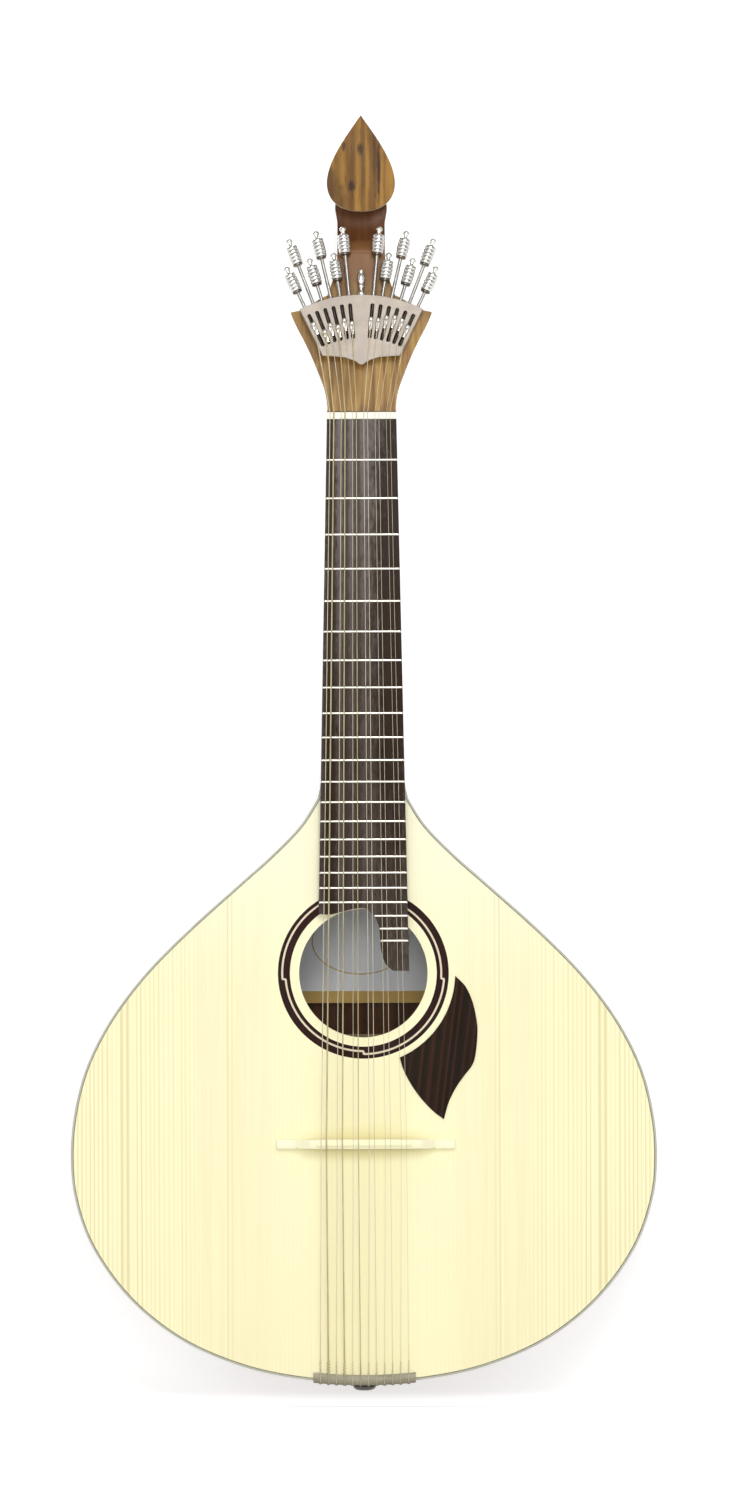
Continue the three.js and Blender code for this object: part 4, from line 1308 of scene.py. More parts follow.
@dataclass
class Body:
    """Soundboard, ribs, back, bindings and what lies in and on them."""

    binding_width: float = 1.25
    binding_end: Line = ((-0.3, -0.4), (-0.3, 10), (0, 10), (0.5, 5.5), (1.1, 2.6), (1.9, -0.4))
    purfling_width: float = 0.45
    round_steps: int = 160
    rosette_inner: float = 47.6
    rosette_outer: float = 55.4
    rosette_depth: float = 1.2
    rosette_rises: Row = (-0.02, -0.05, -0.06)
    line_width: float = 1.25
    line_radii: Row = (50.5, 52.6, 50.5, 52.4)
    line_depth: float = 0.5
    line_step: float = -4
    tick_half: float = 0.6
    leaf_margin: float = 4.1
    leaf_width: float = 50.3
    leaf_length: float = 92.9
    leaf_tip: float = -1.8
    leaf_corner: float = -66.8
    leaf_thickness: float = 0.8
    leaf_outer: Line = (
        (0.847, 0.072), (0.94, 0.181), (0.996, 0.325), (1, 0.426), (0.972, 0.562), (0.926, 0.63),
        (0.831, 0.696), (0.722, 0.781), (0.628, 0.884), (0.567, 1),
    )
    leaf_inner: Line = ((0.441, 0.95), (0.284, 0.862), (0.145, 0.757), (0.042, 0.647))
    label_half: float = 52
    label_heights: Row = (-379.1, -371.3, -300)
    label_thickness: float = 0.2
    label_lift: float = 2.2
    label_seat: Flat = (-340, 120)
    oval: Flat = (31.4, 21.4)
    oval_centre: Flat = (-1.8, -338.9)
    oval_half_line: float = 0.4
    back_dome: float = 9
    back_dome_fullness: float = 0.8
    skin_thickness: float = 0.3
    skin_inset: float = 2.8
    strip_half: float = 1.1
    strip_rise: float = 0.05
    strip_depth: float = 0.2
    lining_width: float = 5
    lining_depth: float = 8

    def build(self) -> None:
        """Builds and dresses every piece of the body."""
        self.front()
        self.sides()
        self.back()
        self.rosette()
        self.leaf()
        self.label()
        dress_solid("neck_block", BLOCK_WOOD)
        dress_solid("brace_top_lower", SHADED_BRACE_WOOD)
        for node in ("tail_block", "brace_top_upper", "brace_back_upper", "brace_back_lower"):
            dress_solid(node, INNER_WOOD)

    def front(self) -> None:
        """The soundboard, the pale strip round its edge and the thin dark line between them."""
        depth = SIZES.soundboard_thickness
        insets = (0, self.binding_width, self.binding_width + self.purfling_width)
        outer, middle, inner = (whole(inset_side(inset)) for inset in insets)
        hole = ring(SIZES.soundhole_radius, BODY_STEPS, (0, SIZES.soundhole))
        slab(inner, 0, depth, [hole], rounding=0.15).show("soundboard_top", SPRUCE, "soundboard")
        slab(outer, 0, depth, [middle], rounding=0.35).show("binding_front", BINDING)
        slab(middle, 0, depth, [inner], rounding=0.05).show("purfling_front", PURFLING)

    def sides(self) -> None:
        """The ribs, the linings inside them and the ends of the binding, on both sides."""
        wall, front = SIZES.rib_thickness, SIZES.soundboard_thickness
        lining_back = front + self.lining_depth
        for side, sign in (("bass", -1), ("treble", 1)):
            rib = self.bent(sign, 0, wall, SIZES.rim_back)
            rib.show(f"rib_{side}_bent", RIM_WOOD, f"rib_{side}", crease=BENT_CREASE)
            lining = self.bent(sign, wall, wall + self.lining_width, lambda z: lining_back)
            lining.show(f"lining_{side}", INNER_WOOD, crease=BENT_CREASE)
            heights = [(aside, SIZES.joint + up) for aside, up in self.binding_end]
            wedge = [(sign * (SIZES.board_half(z) + aside), z) for aside, z in heights]
            slab(wedge, 0.1, front).show(f"binding_end_{side}", BINDING)

    def bent(self, sign: int, outer: float, inner: float, back: Callable[[float], float]) -> Shell:
        """Makes a strip bent along one side, behind the soundboard.

        Args:
            sign: 1 for the treble side and -1 for the bass side.
            outer: How far its outer face lies inside the body's edge.
            inner: The same for its inner face.
            back: Gives its back edge in Y from a height.

        Returns:
            The strip.
        """
        front = SIZES.soundboard_thickness
        return loft([[
            Vector((sign * ox, front, oz)), Vector((sign * ox, back(oz), oz)),
            Vector((sign * ix, back(iz), iz)), Vector((sign * ix, front, iz)),
        ] for (ox, oz), (ix, iz) in zip(inset_side(outer), inset_side(inner))])

    def back_point(self, x: float, z: float, half: float, lift: float) -> Vector:
        """Finds a point on the arched back.

        Args:
            x: Its place across.
            z: Its height.
            half: Half of the body's width there.
            lift: How far it lies behind the back's inner face.

        Returns:
            The point.
        """
        along = max(0.0, sin(pi * (SIZES.joint - z) / SIZES.body_length))
        dome = self.back_dome * (1 - (x / half) ** 2) * along ** self.back_dome_fullness
        return Vector((x, SIZES.rim_back(z) + dome + lift, z))

    def arched(self, side: Sequence[Flat], row: Callable[[float], list[float]], near: float, far: float) -> Shell:
        """Makes a sheet that follows the back's arch.

        Args:
            side: Half widths and heights of the body.
            row: Gives the places across from a half width.
            near: How far its inner face lies behind the back's inner face.
            far: The same for its outer face.

        Returns:
            The sheet.
        """
        rings = []
        for half, z in side:
            places = [(x, near) for x in row(half)] + [(x, far) for x in reversed(row(half))]
            rings.append([self.back_point(x, z, half, lift) for x, lift in places])
        return loft(rings)

    def back(self) -> None:
        """The arched back, its inner face and its centre strip."""
        shares = [i / 12 - 1 for i in range(25)]
        thick, rise = SIZES.back_thickness, self.strip_rise
        plate = self.arched(SIDE[:-1], lambda half: [s * half for s in shares], 0, thick)
        plate.show("back_arched", BACK_WOOD, "back_plate", crease=BENT_CREASE)
        skin = self.arched(
            SIDE[2:-6], lambda half: [s * (half - self.skin_inset) for s in shares], -self.skin_thickness, rise,
        )
        skin.show("back_inner_face", INNER_BACK, crease=BENT_CREASE)
        strip = self.arched(
            SIDE[:-6], lambda half: [-self.strip_half, self.strip_half], thick - self.strip_depth, thick + rise,
        )
        strip.show("back_centre_strip", BACK_LINE)

    def rosette(self) -> None:
        """The dark ring with one pale line that steps at its quarters."""
        centre = (0, SIZES.soundhole)
        outer, inner = (ring(radius, self.round_steps, centre) for radius in (self.rosette_outer, self.rosette_inner))
        ring_top, line_top, tick_top = self.rosette_rises
        slab(outer, ring_top, self.rosette_depth, [inner]).show("rosette_ring", RING_WOOD, "rosette")
        lines = Shell()
        step = degrees(asin(self.line_step / self.rosette_outer))
        corners = (step, 90, 180 - step, 270, 360 + step)
        for radius, start, end in zip(self.line_radii, corners, corners[1:]):
            near, far = radius - self.line_width / 2, radius + self.line_width / 2
            edge = arc(far, start, end, 48, centre) + arc(near, end, start, 48, centre)
            lines.add(slab(edge, line_top, self.line_depth))
        near, far, half = min(self.line_radii), max(self.line_radii), self.tick_half
        for angle in (corners[0], *corners[2:4]):
            tick = [polar(90 - angle, r, s) for r, s in ((near, half), (far, half), (far, -half), (near, -half))]
            lines.add(slab([(x, z + centre[1]) for x, z in tick], tick_top, self.line_depth))
        lines.show("rosette_line", CREAM_LINE)

    def leaf(self) -> None:
        """The leaf-shaped pickguard beside the rosette."""
        reach = self.rosette_outer + self.leaf_margin
        rim = arc(reach, self.leaf_corner, self.leaf_tip, 36)
        (left, low), (right, top) = rim[0], rim[-1]
        wide, tall = self.leaf_width, -self.leaf_length
        sides = [scaled(shares, wide, tall, left, top) for shares in (self.leaf_outer, self.leaf_inner)]
        outer = spline([(right, top), *sides[0]], 60)
        inner = spline([outer[-1], *sides[1], (left, low)], 36)
        outline = [(x, z + SIZES.soundhole) for x, z in [*outer, *inner[1:], *rim[1:-1]]]
        slab(outline, -self.leaf_thickness, 0, rounding=0.25).show("leaf_pickguard", LEAF_WOOD, "pickguard")

    def patch(self, outline: Sequence[Flat], lift: float = 0.0, hole: Sequence[Flat] = ()) -> Shell:
        """A flat patch laid on the inner face of the back."""
        depth = self.back_point(0, *self.label_seat, 0).y - self.label_lift - lift
        return slab(outline, depth - self.label_thickness, depth, [hole] if hole else ())

    def label(self) -> None:
        """A plain paper label inside the back, with a band and an oval line."""
        bottom, band, top = self.label_heights
        for name, finish, low, high in (
            ("label_sheet", LABEL_PAPER, band, top), ("label_band", LABEL_BAND, bottom, band),
        ):
            corners = [(side * self.label_half, z) for side, z in ((-1, low), (1, low), (1, high), (-1, high))]
            self.patch(corners).show(name, finish)
        ovals = [
            scaled(ring(1, 96), self.oval[0] + grow, self.oval[1] + grow, *self.oval_centre)
            for grow in (self.oval_half_line, -self.oval_half_line)
        ]
        self.patch(ovals[0], 0.15, ovals[1]).show("label_oval", LABEL_LINE)


@dataclass
class Neck:
    """Neck, heel, head, fretboard, frets and nut."""

    thickness_at_nut: float = 17
    thickness_at_heel: float = 20
    section_steps: int = 40
    root_length: float = 52
    root_steps: int = 18
    root_overlap: float = 4
    root_inset: float = 0.05
    root_start: Flat = (-1, 1.5)
    root_square: Flat = (0.03, 2.2)
    heel_reach: float = 84
    heel_block: float = 18
    heel_cove: float = 46
    heel_fullness: float = 0.5
    heel_taper: float = 0.17
    heel_taper_start: float = 0.25
    heel_taper_power: float = 1.5
    heel_steps: int = 28
    heel_cap: float = 0.8
    heel_cap_half: float = 16.5
    heel_cap_bend: float = 12
    heel_cap_gaps: Flat = (0.2, 0.8)
    heel_cap_draft: float = 1
    heel_cap_sink: float = 0.3
    head_thickness: float = 15
    wing_half_width: float = 45.8
    wing_tip: float = 66
    wing_root: float = 77.22
    wing_taper: float = 0.93
    stem_half_width: float = 15.4
    stem_nose: float = 0.9
    stem_round: float = 5
    stem_span: Flat = (71.02, 153.8)
    drop_foot: float = 133.2
    drop_length: float = 64
    drop_width: float = 44.2
    drop_taper: float = 0.86
    drop_centre: float = 0.7
    drop_layers: Row = (-3.7, -3.1, -1.5)
    veneer_length: float = 102.9
    veneer_crown: float = 4.5
    waist_inset: float = 0.2
    veneer_layers: Flat = (-1.7, -0.2)
    fret_count: int = 22
    fret_width: float = 1.6
    fret_height: float = 0.9
    fret_foot: float = 0.4
    fret_ends: Line = ((0.1, 0.5), (0.5, 0.93), (0.9, 1))
    side_shares: Line = (
        (0.482, 0.003), (0.493, 0.11), (0.525, 0.23), (0.574, 0.332), (0.644, 0.453), (0.727, 0.592),
        (0.825, 0.735), (0.928, 0.876), (1, 0.995),
    )
    wing_top_shares: Line = ((0.985, 1.004), (0.87, 1.022), (0.76, 1.056), (0.6, 1.13), (0.489, 1.17))
    stem_shares: tuple[tuple[float, float, float, float], ...] = (
        (-0.3, 1.0, 0.05, 0.97), (-0.14, 1.25, 0.02, 1.015), (0, 1.4, 0, 1.035), (0.064, 1.455, 0, 1.04),
        (0.193, 1.22, 0, 1.04), (0.314, 1.065, -0.08, 1.05), (0.4, 1.01, -0.109, 1.07), (0.455, 1, -0.1, 1.1),
        (0.53, 1, 0.2, 1.18), (0.619, 1, 0.45, 1.3), (0.7, 1, 0.53, 1.36), (0.76, 1.05, 0.54, 1.38),
        (0.82, 1.09, 0.52, 1.34), (0.9, 1, 0.45, 1.2), (1, 0.8, 0.3, 1.05),
    )
    drop_bends: tuple[Line, ...] = (
        ((0, 0), (0.72, 0), (1, 0.14), (1, 0.294)), ((1, 0.294), (0.985, 0.53), (0.39, 0.8), (0, 1)),
    )
    tongue_shares: Line = (
        (0.68, 1), (0.54, 0.926), (0.457, 0.826), (0.4, 0.666), (0.38, 0.506), (0.36, 0.314),
        (0.32, 0.228), (0.257, 0.14), (0.12, 0.03), (-0.014, 0), (-0.215, 0.012), (-0.5, 0.06),
        (-0.757, 0.1), (-1, 0.086),
    )

    def build(self) -> None:
        """Builds and dresses every piece of the neck."""
        self.shaft()
        self.heel_plate()
        self.head()
        self.fretboard()
        half = SIZES.board_width_at_nut / 2
        nut = block((-half, -SIZES.nut_height, 0), (half, 0, SIZES.nut_thickness))
        nut.show("nut_bone", BONE, "nut", rounding=0.5)

    def rounds(self, fullness: float) -> list[Flat]:
        """Draws the back half of a round or squarish section.

        Args:
            fullness: 1 for a round section, and less the squarer its sides are.

        Returns:
            Shares of the half width and sines, from the treble side to the bass side.
        """
        sides = arc(1, 0, 180, self.section_steps)
        sides[0], sides[-1] = (1, 0), (-1, 0)
        return [(copysign(abs(x) ** fullness, x), y) for x, y in sides]

    def shaft_section(self, z: float, half: float, depth: float, fullness: float = 1) -> list[Vector]:
        """Draws a section of the shaft, flat in front and round behind.

        Args:
            z: Its height.
            half: Half of its width.
            depth: How far it reaches back.
            fullness: 1 for a round back, and less the squarer it is.

        Returns:
            Its points.
        """
        section = []
        for across, up in self.rounds(fullness):
            back = min(depth * up, SIZES.heel_back)
            past = max(0.0, back / self.heel_reach - self.heel_taper_start)
            slim = 1 - self.heel_taper * past ** self.heel_taper_power
            section.append(Vector((half * across * slim, back, z)))
        return section

    def shaft(self) -> None:
        """The shaft and its heel."""
        thin, thick = self.thickness_at_nut, self.thickness_at_heel
        cove_top = SIZES.joint + self.heel_block + self.heel_cove
        rings = [self.shaft_section(SIZES.nut_thickness, SIZES.board_half(0), thin)]
        for share in (0, 1 / 3, 2 / 3, 1):
            z = cove_top * share
            rings.append(self.shaft_section(z, SIZES.board_half(z), thin + (thick - thin) * share))
        for step in range(1, self.heel_steps + 1):
            share = sin(pi / 2 * step / self.heel_steps)
            z = cove_top - share * self.heel_cove
            depth = thick + (1 - sqrt(max(0.0, 1 - share ** 2))) * (self.heel_reach - thick)
            fullness = 1 + share * (self.heel_fullness - 1)
            rings.append(self.shaft_section(z, SIZES.board_half(z), depth, fullness))
        end = SIZES.board_half(SIZES.joint)
        rings.append(self.shaft_section(SIZES.joint, end, self.heel_reach, self.heel_fullness))
        loft(rings).show("neck_shaft", NECK_WOOD, "neck", crease=40)

    def heel_plate(self) -> None:
        """The thin dark plate that ends the heel."""
        half, bend, (below, above) = self.heel_cap_half, self.heel_cap_bend, self.heel_cap_gaps
        top = SIZES.joint + self.heel_block - above
        corner = arc(bend, 0, 90, 10, (half - bend, top - bend))
        right = [(half - self.heel_cap_draft, SIZES.joint + below), *corner]
        front, back = SIZES.heel_back - self.heel_cap_sink, SIZES.heel_back + self.heel_cap
        slab([*right, *mirrored(right)], front, back, rounding=0.5).show("heel_plate", CAP_WOOD)

    def head_outline(self) -> list[Flat]:
        """The treble side of the head from the nut to the stem."""
        rise, top = (scaled(s, self.wing_half_width, self.wing_tip) for s in (self.side_shares, self.wing_top_shares))
        return [*spline(rise, 48), *spline(top, 16)]

    def stem_line(self) -> list[tuple[float, float, float, float]]:
        """Draws the stem.

        Returns:
            For each section its place along the head, half width, front and back.
        """
        foot, top = self.stem_span
        lines = []
        for column, size in enumerate((self.stem_half_width, self.head_thickness, self.head_thickness), 1):
            table = [(row[0], row[column]) for row in self.stem_shares]
            lines.append(spline(scaled(table, top - foot, size, foot), 72))
        return [(z, half, front, back) for (z, half), (_, front), (_, back) in zip(*lines)]

    def stem(self) -> Shell:
        """Makes the stem between the head's wings and the teardrop.

        Returns:
            The stem as a shell in the head's frame.
        """
        nose, bend = self.stem_nose, self.stem_round
        rings = []
        for z, half, front, back in self.stem_line():
            corners = (
                (half - nose, front + nose, nose, -90), (half - bend, back - bend, bend, 0),
                (bend - half, back - bend, bend, 90), (nose - half, front + nose, nose, 180),
            )
            rings.append([
                Vector((x, y, z)) for cx, cy, radius, start in corners
                for x, y in arc(radius, start, start + 90, 6, (cx, cy))
            ])
        return loft(rings)

    def drop_outline(self) -> list[Flat]:
        """Draws the teardrop, pointed at the top.

        Returns:
            Its edge.
        """
        lower, upper = (
            scaled(bend, self.drop_width / 2, self.drop_length, 0, self.drop_foot) for bend in self.drop_bends
        )
        side = [lower[0], *bezier(lower, 28), *bezier(upper, 40)]
        return [*side, *mirrored(side)[1:-1]]

    def root_half(self, side: Sequence[Flat], up: float) -> float:
        """Finds half of the head's width between the nut and the wings.

        Args:
            side: The treble side of the head.
            up: The height along the head.

        Returns:
            Half of its width.
        """
        for (aw, az), (bw, bz) in zip(side, side[1:]):
            if az <= up <= bz:
                return aw + (bw - aw) * (up - az) / max(bz - az, 1e-6)
        return side[0][0]

    def head_root(self, side: Sequence[Flat]) -> None:
        """The part of the head that leads from the round shaft to the flat plate.

        Args:
            side: The treble side of the head.
        """
        thin = self.thickness_at_nut
        least, power = self.root_square
        rings = [self.shaft_section(z, SIZES.board_half(0), thin) for z in self.root_start]
        for step in range(1, self.root_steps + 1):
            share = step / self.root_steps
            up = self.root_length * share
            depth = thin + share * (self.head_thickness - self.root_inset - thin)
            half = self.root_half(side, up) - self.root_inset
            square = least + (1 - least) * (1 - share) ** power
            section = []
            for across, sine in self.rounds(square):
                rise = sine ** square
                slim = 1 - share * (1 - self.wing_taper) * rise
                section.append(SIZES.head_place @ Vector((half * across * slim, depth * rise, up)))
            rings.append(section)
        loft(rings).show("head_root", HEAD_WOOD, crease=BENT_CREASE)

    def head(self) -> None:
        """The head in its carved wood, its veneer and its teardrop face."""
        thick, side, drop = self.head_thickness, self.head_outline(), self.drop_outline()
        self.head_root(side)
        foot = self.root_length - self.root_overlap
        upper = [(self.root_half(side, foot), foot), *((w, z) for w, z in side if z > foot)]
        plate = slab([*upper, *mirrored(upper)], 0, thick, rounding=0.6)
        front, middle, back = self.drop_layers
        body = slab(drop, back, thick, rounding=1.2)
        centre = (0, self.drop_foot + self.drop_length * self.drop_centre)
        waist = [
            (w - self.waist_inset, z) for z, w, _, _ in self.stem_line() if self.wing_root < z < self.veneer_length
        ]
        right = [*side, *waist, (self.stem_half_width, self.veneer_length)]
        crown = (0, self.veneer_length + self.veneer_crown)
        for name, shell, finish, *nodes in (
            ("head_plate", plate.tapered(0, thick, (0, self.wing_tip), self.wing_taper), HEAD_WOOD),
            ("head_stem", self.stem(), STEM_WOOD),
            (
                "head_teardrop",
                body.tapered(back, thick, centre, self.drop_taper), NECK_WOOD,
            ),
            (
                "head_face", slab([*right, crown, *mirrored(right)], *self.veneer_layers, rounding=0.08),
                FACE_WOOD, "head_veneer",
            ),
            ("teardrop_veneer", slab(drop, front, middle, rounding=0.25), DROP_WOOD, "teardrop_face"),
            # The pale layer whose edge is the painted highlight on the teardrop's rim.
            ("teardrop_rim_highlight", slab(drop, middle, back), DROP_RIM_HIGHLIGHT),
        ):
            shell.moved(SIZES.head_place).show(name, finish, *nodes)

    def board_outline(self) -> list[Flat]:
        """Draws the fretboard with its tongue over the soundhole.

        Returns:
            Its edge.
        """
        end = SIZES.board_half(-SIZES.board_length)
        lower = spline(scaled(self.tongue_shares, end, -SIZES.tongue_length, 0, -SIZES.board_length), 84)
        foot = -SIZES.board_length - SIZES.tongue_length
        half = SIZES.board_half(0)
        return [(-half, 0), *reversed(lower), (SIZES.board_half(foot), foot), (half, 0)]

    def board_span(self, z: float) -> Flat:
        """Finds the fretboard's left and right edges.

        Args:
            z: The place along the neck.

        Returns:
            Both edges in X.
        """
        outline = self.board_outline()
        crossings = []
        for (ax, az), (bx, bz) in zip(outline, [*outline[1:], outline[0]]):
            if min(az, bz) <= z < max(az, bz):
                crossings.append(ax + (bx - ax) * (z - az) / (bz - az))
        return min(crossings), max(crossings)

    def fretboard(self) -> None:
        """The board and its frets."""
        top, half = -SIZES.board_thickness, self.fret_width / 2
        slab(self.board_outline(), top, 0, rounding=0.3).show("fretboard_wood", ROSEWOOD, "fretboard")
        for n in range(1, self.fret_count + 1):
            z = -SIZES.scale_length * (1 - 2 ** (-n / 12))
            left, right = self.board_span(z)
            ends = [(left + inset, share) for inset, share in self.fret_ends]
            ends += [(right - inset, share) for inset, share in reversed(self.fret_ends)]
            rings = []
            for x, share in ends:
                crown = scaled(arc(1, 0, 180, 12), half, -self.fret_height * share, z, top)
                foot = [(z - half, top + self.fret_foot), (z + half, top + self.fret_foot)]
                rings.append([Vector((x, y, along)) for along, y in (*crown, *foot)])
            loft(rings).show(f"fret_{n:02d}", FRET_METAL)


@dataclass
class FanMachine:
    """The fan-shaped tuning machine with its screws and hooks."""

    radius: float = 88.1
    half_angle: float = 26.9
    corner: Flat = (27.8, 53.7)
    cusp_radius: float = 41.4
    floor: Flat = (-3.1, -1.9)
    wall_top: float = -8.4
    housing_rise: float = 1.8
    plate: Flat = (-9.6, -8.6)
    cavity: Line = ((57.9, 26.6), (84.3, -26.2))
    slot_inner: float = 59.1
    slot_outer: float = 82.5
    slot_width: float = 2.3
    screw_height: float = 6
    long_reach: float = 134.9
    short_reach: float = 118.4
    long_screws: tuple[int, ...] = (2, 4, 6, 7, 9, 11)
    thread_foot: Flat = (0.8, 55.5)
    thread_tooth: Line = ((0.82, 0), (1, 0.3), (1, 0.45))
    thread_start: float = 55.7
    thread_end: float = 82.6
    thread_turns: int = 34
    stop: Line = ((1, 82.7), (1.7, 82.75), (1.7, 83.95), (1.15, 84))
    shaft_radius: float = 1.15
    shaft_start: float = 83.9
    shaft_sink: float = 0.4
    knob_length: float = 19.4
    knob_radius: float = 4.05
    knob_ribs: int = 5
    rib_start: float = 0.088
    rib_pitch: float = 0.122
    rib_swell: float = 0.08
    knob_foot: Line = ((0.3, 0.075), (0.8, 0.08))
    knob_rib: Line = (
        (0.92, 0), (0.97, 0.014), (0.995, 0.034), (1, 0.055), (0.995, 0.078), (0.97, 0.1), (0.92, 0.114),
    )
    knob_top: Line = (
        (0.66, 0.706), (0.45, 0.73), (0.33, 0.752), (0.31, 0.8), (0.36, 0.83), (0.5, 0.86), (0.55, 0.895),
        (0.5, 0.93), (0.36, 0.965), (0.2, 0.99), (0.06, 1),
    )
    collar: Line = (
        (0.34, 0), (0.68, 0.004), (0.78, 0.018), (0.82, 0.045), (0.8, 0.07), (0.7, 0.082), (0.2, 0.086),
    )
    hook_radii: Row = (74.4, 66.9, 70.1, 67.7, 71.1, 68.6, 71.3, 71.3, 73.8, 75.3, 74.7, 72.1)
    hook_blocks: tuple[Row, ...] = ((1.7, -8.1, -3.9, 2.5), (0.7, -10.2, -8, 1.5))
    hook_tab: tuple[Place, ...] = (
        (-6.5, 0.6, -10.05), (-5.6, 0.85, -10.1), (-3.7, 1.1, -10.2), (-2.7, 1.15, -10.3), (-1.7, 1.2, -10.6),
        (1, 1.2, -10.7), (1.5, 0.7, -10.6),
    )
    hook_tab_foot: float = -9.9
    hook_tab_edge: Flat = (0.85, 0.1)
    hook_bow: Line = ((-10, -3.7), (-11.1, -3.5), (-11.45, -3), (-11.2, -2.4), (-10.6, -2))
    hook_wire: float = 0.42
    post: Line = ((0.9, -0.2), (0.9, 1.9), (1.0, 2))
    post_foot: float = -10.6
    ball_radius: float = 1.5
    ball_height: float = -13.2
    ball_steps: int = 14
    bearings: Row = (-24.5, -20.6, -16.7, -12.8, -8.9, -5.1, 5.1, 8.9, 12.8, 16.7, 20.6, 24.5)
    edge_shares: Line = ((1, 1), (0.56, 0.87), (0.4, 0.77), (0.17, 0.41), (0.06, 0.1), (0, 0))
    finial_size: Flat = (2.6, 17.4)
    finial_shares: Line = (
        (0.98, 0), (1, 0.03), (1, 0.09), (0.6, 0.13), (0.5, 0.18), (0.5, 0.28), (0.74, 0.33), (0.78, 0.36),
        (0.72, 0.4), (0.52, 0.44), (0.8, 0.52), (0.96, 0.6), (0.98, 0.68), (0.9, 0.77), (0.5, 0.85),
        (0.56, 0.89), (0.62, 0.94), (0.5, 0.98), (0.2, 1),
    )

    def build(self) -> None:
        """Builds and dresses every piece of the machine."""
        place = SIZES.fan_place
        raised = self.outline(self.housing_rise)
        hollow = [p for radius, angle in self.cavity for p in arc(radius, 90 - angle, 90 + angle, 32)]
        walls = slab(raised, self.wall_top, self.floor[0], [hollow], rounding=0.2)
        housing = slab(raised, *self.floor, rounding=0.2).add(walls)
        housing.moved(place).show("fan_housing", NICKEL, "fan_frame")
        slots = [self.slot(bearing) for bearing in self.bearings]
        plate = slab(self.outline(), *self.plate, slots, rounding=0.25)
        plate.moved(place).show("fan_face", NICKEL, "fan_plate")
        finial = turned(scaled(self.finial_shares, *self.finial_size), 40)
        foot = at(0, -self.screw_height, self.radius + SIZES.seat_gap)
        finial.moved(place @ foot).show("fan_crown", CHROME, "fan_finial")
        for number, bearing in enumerate(self.bearings, 1):
            self.screw(f"{number:02d}", bearing, self.long_reach if number in self.long_screws else self.short_reach)
            self.hook(f"{number:02d}", bearing, self.hook_radii[number - 1])

    def outline(self, raised: float = 0.0) -> list[Flat]:
        """Draws the plate's outer edge, with a cusp at the bottom.

        Args:
            raised: How far its lower edge is moved up.

        Returns:
            The edge.
        """
        x, z = polar(self.corner[0], self.corner[1] + raised)
        cusp = self.cusp_radius + raised
        right = spline(scaled(self.edge_shares, x, z - cusp, 0, cusp), 40)
        top = arc(self.radius, 90 + self.half_angle, 90 - self.half_angle, 48)
        return list(reversed([*right[:-1], *mirrored(right), *top]))

    def slot(self, bearing: float) -> list[Flat]:
        """Draws one slot with round ends.

        Args:
            bearing: Its bearing in the fan.

        Returns:
            Its edge.
        """
        half = self.slot_width / 2
        points = []
        for centre, turn in ((self.slot_outer - half, 0), (self.slot_inner + half, 180)):
            for bend in range(-90, 91, 18):
                x, z = polar(turn + bend, half)
                points.append(polar(bearing, centre + z, x))
        return points

    def knob(self) -> list[Flat]:
        """Draws the knob: a barrel with shallow ribs, a neck and a ball.

        Returns:
            Shares of its radius and its length.
        """
        shares = [*self.knob_foot]
        for rib in range(self.knob_ribs):
            swell = 1 - self.rib_swell * (1 - sin(pi * (rib + 0.5) / self.knob_ribs))
            shares += scaled(self.knob_rib, swell, 1, 0, self.rib_start + self.rib_pitch * rib)
        return [*shares, *self.knob_top]

    def screw(self, number: str, bearing: float, reach: float) -> None:
        """One tuning screw: its thread with a stop, its shaft, its dark collar and its knob.

        Args:
            number: Its number, in two digits.
            bearing: Its bearing in the fan.
            reach: The radius at which it ends.
        """
        start = reach - self.knob_length
        place = SIZES.tuner_place(bearing) @ at(0, -self.screw_height, 0)
        thread = [self.thread_foot]
        for turn in range(self.thread_turns):
            foot = self.thread_start + (self.thread_end - self.thread_start) * turn / self.thread_turns
            thread += [(radius, foot + up) for radius, up in self.thread_tooth]
        shaft = [(self.shaft_radius, z) for z in (self.shaft_start, start + self.shaft_sink)]
        collar, knob = (
            scaled(shares, self.knob_radius, self.knob_length, 0, start) for shares in (self.collar, self.knob())
        )
        for name, shell, finish, *nodes in (
            ("thread", turned([*thread, *self.stop], 20), DARK_STEEL, f"tuner_screw_{number}"),
            ("shaft", turned(shaft, 28), ROD_STEEL),
            ("collar", turned(collar, 48), COLLAR_STEEL),
            ("knob", turned(knob, 60, flutes=0.012, count=20), CHROME),
        ):
            shell.moved(place).show(f"tuner_{name}_{number}", finish, *nodes, body=f"screw_{number}")

    def hook(self, number: str, bearing: float, radius: float) -> None:
        """One sliding hook: a block under the plate, a tab with a hook over it, and a ball.

        Args:
            number: Its number, in two digits.
            bearing: Its bearing in the fan.
            radius: Its radius at rest.
        """
        place, body = SIZES.tuner_place(bearing), f"hook_{number}"
        slider = Shell(crease=FLAT_CREASE)
        for half, top, low, reach in self.hook_blocks:
            slider.add(block((-half, top, radius - reach), (half, low, radius + reach)))
        slider.moved(place).show(f"hook_slider_{number}", DARK_STEEL, f"tuner_hook_{number}", body=body, rounding=0.15)
        foot, (flat, bend) = self.hook_tab_foot, self.hook_tab_edge
        over = loft([[
            Vector((x * half, y, radius + along))
            for x, y in ((-1, foot), (-1, top + bend), (-flat, top), (flat, top), (1, top + bend), (1, foot))
        ] for along, half, top in self.hook_tab])
        bends = [180 * k / self.ball_steps for k in range(1, self.ball_steps)]
        ball = [(x, -z) for x, z in (polar(bend, self.ball_radius) for bend in bends)]
        over.add(
            tube([Vector((0, y, radius + along)) for y, along in self.hook_bow], self.hook_wire, 12),
            turned(self.post, 24).moved(at(0, self.post_foot, radius, 90)),
            turned(ball, 28).moved(at(0, self.ball_height, radius, 90)),
        )
        over.moved(place).show(f"hook_top_{number}", CHROME, body=body)


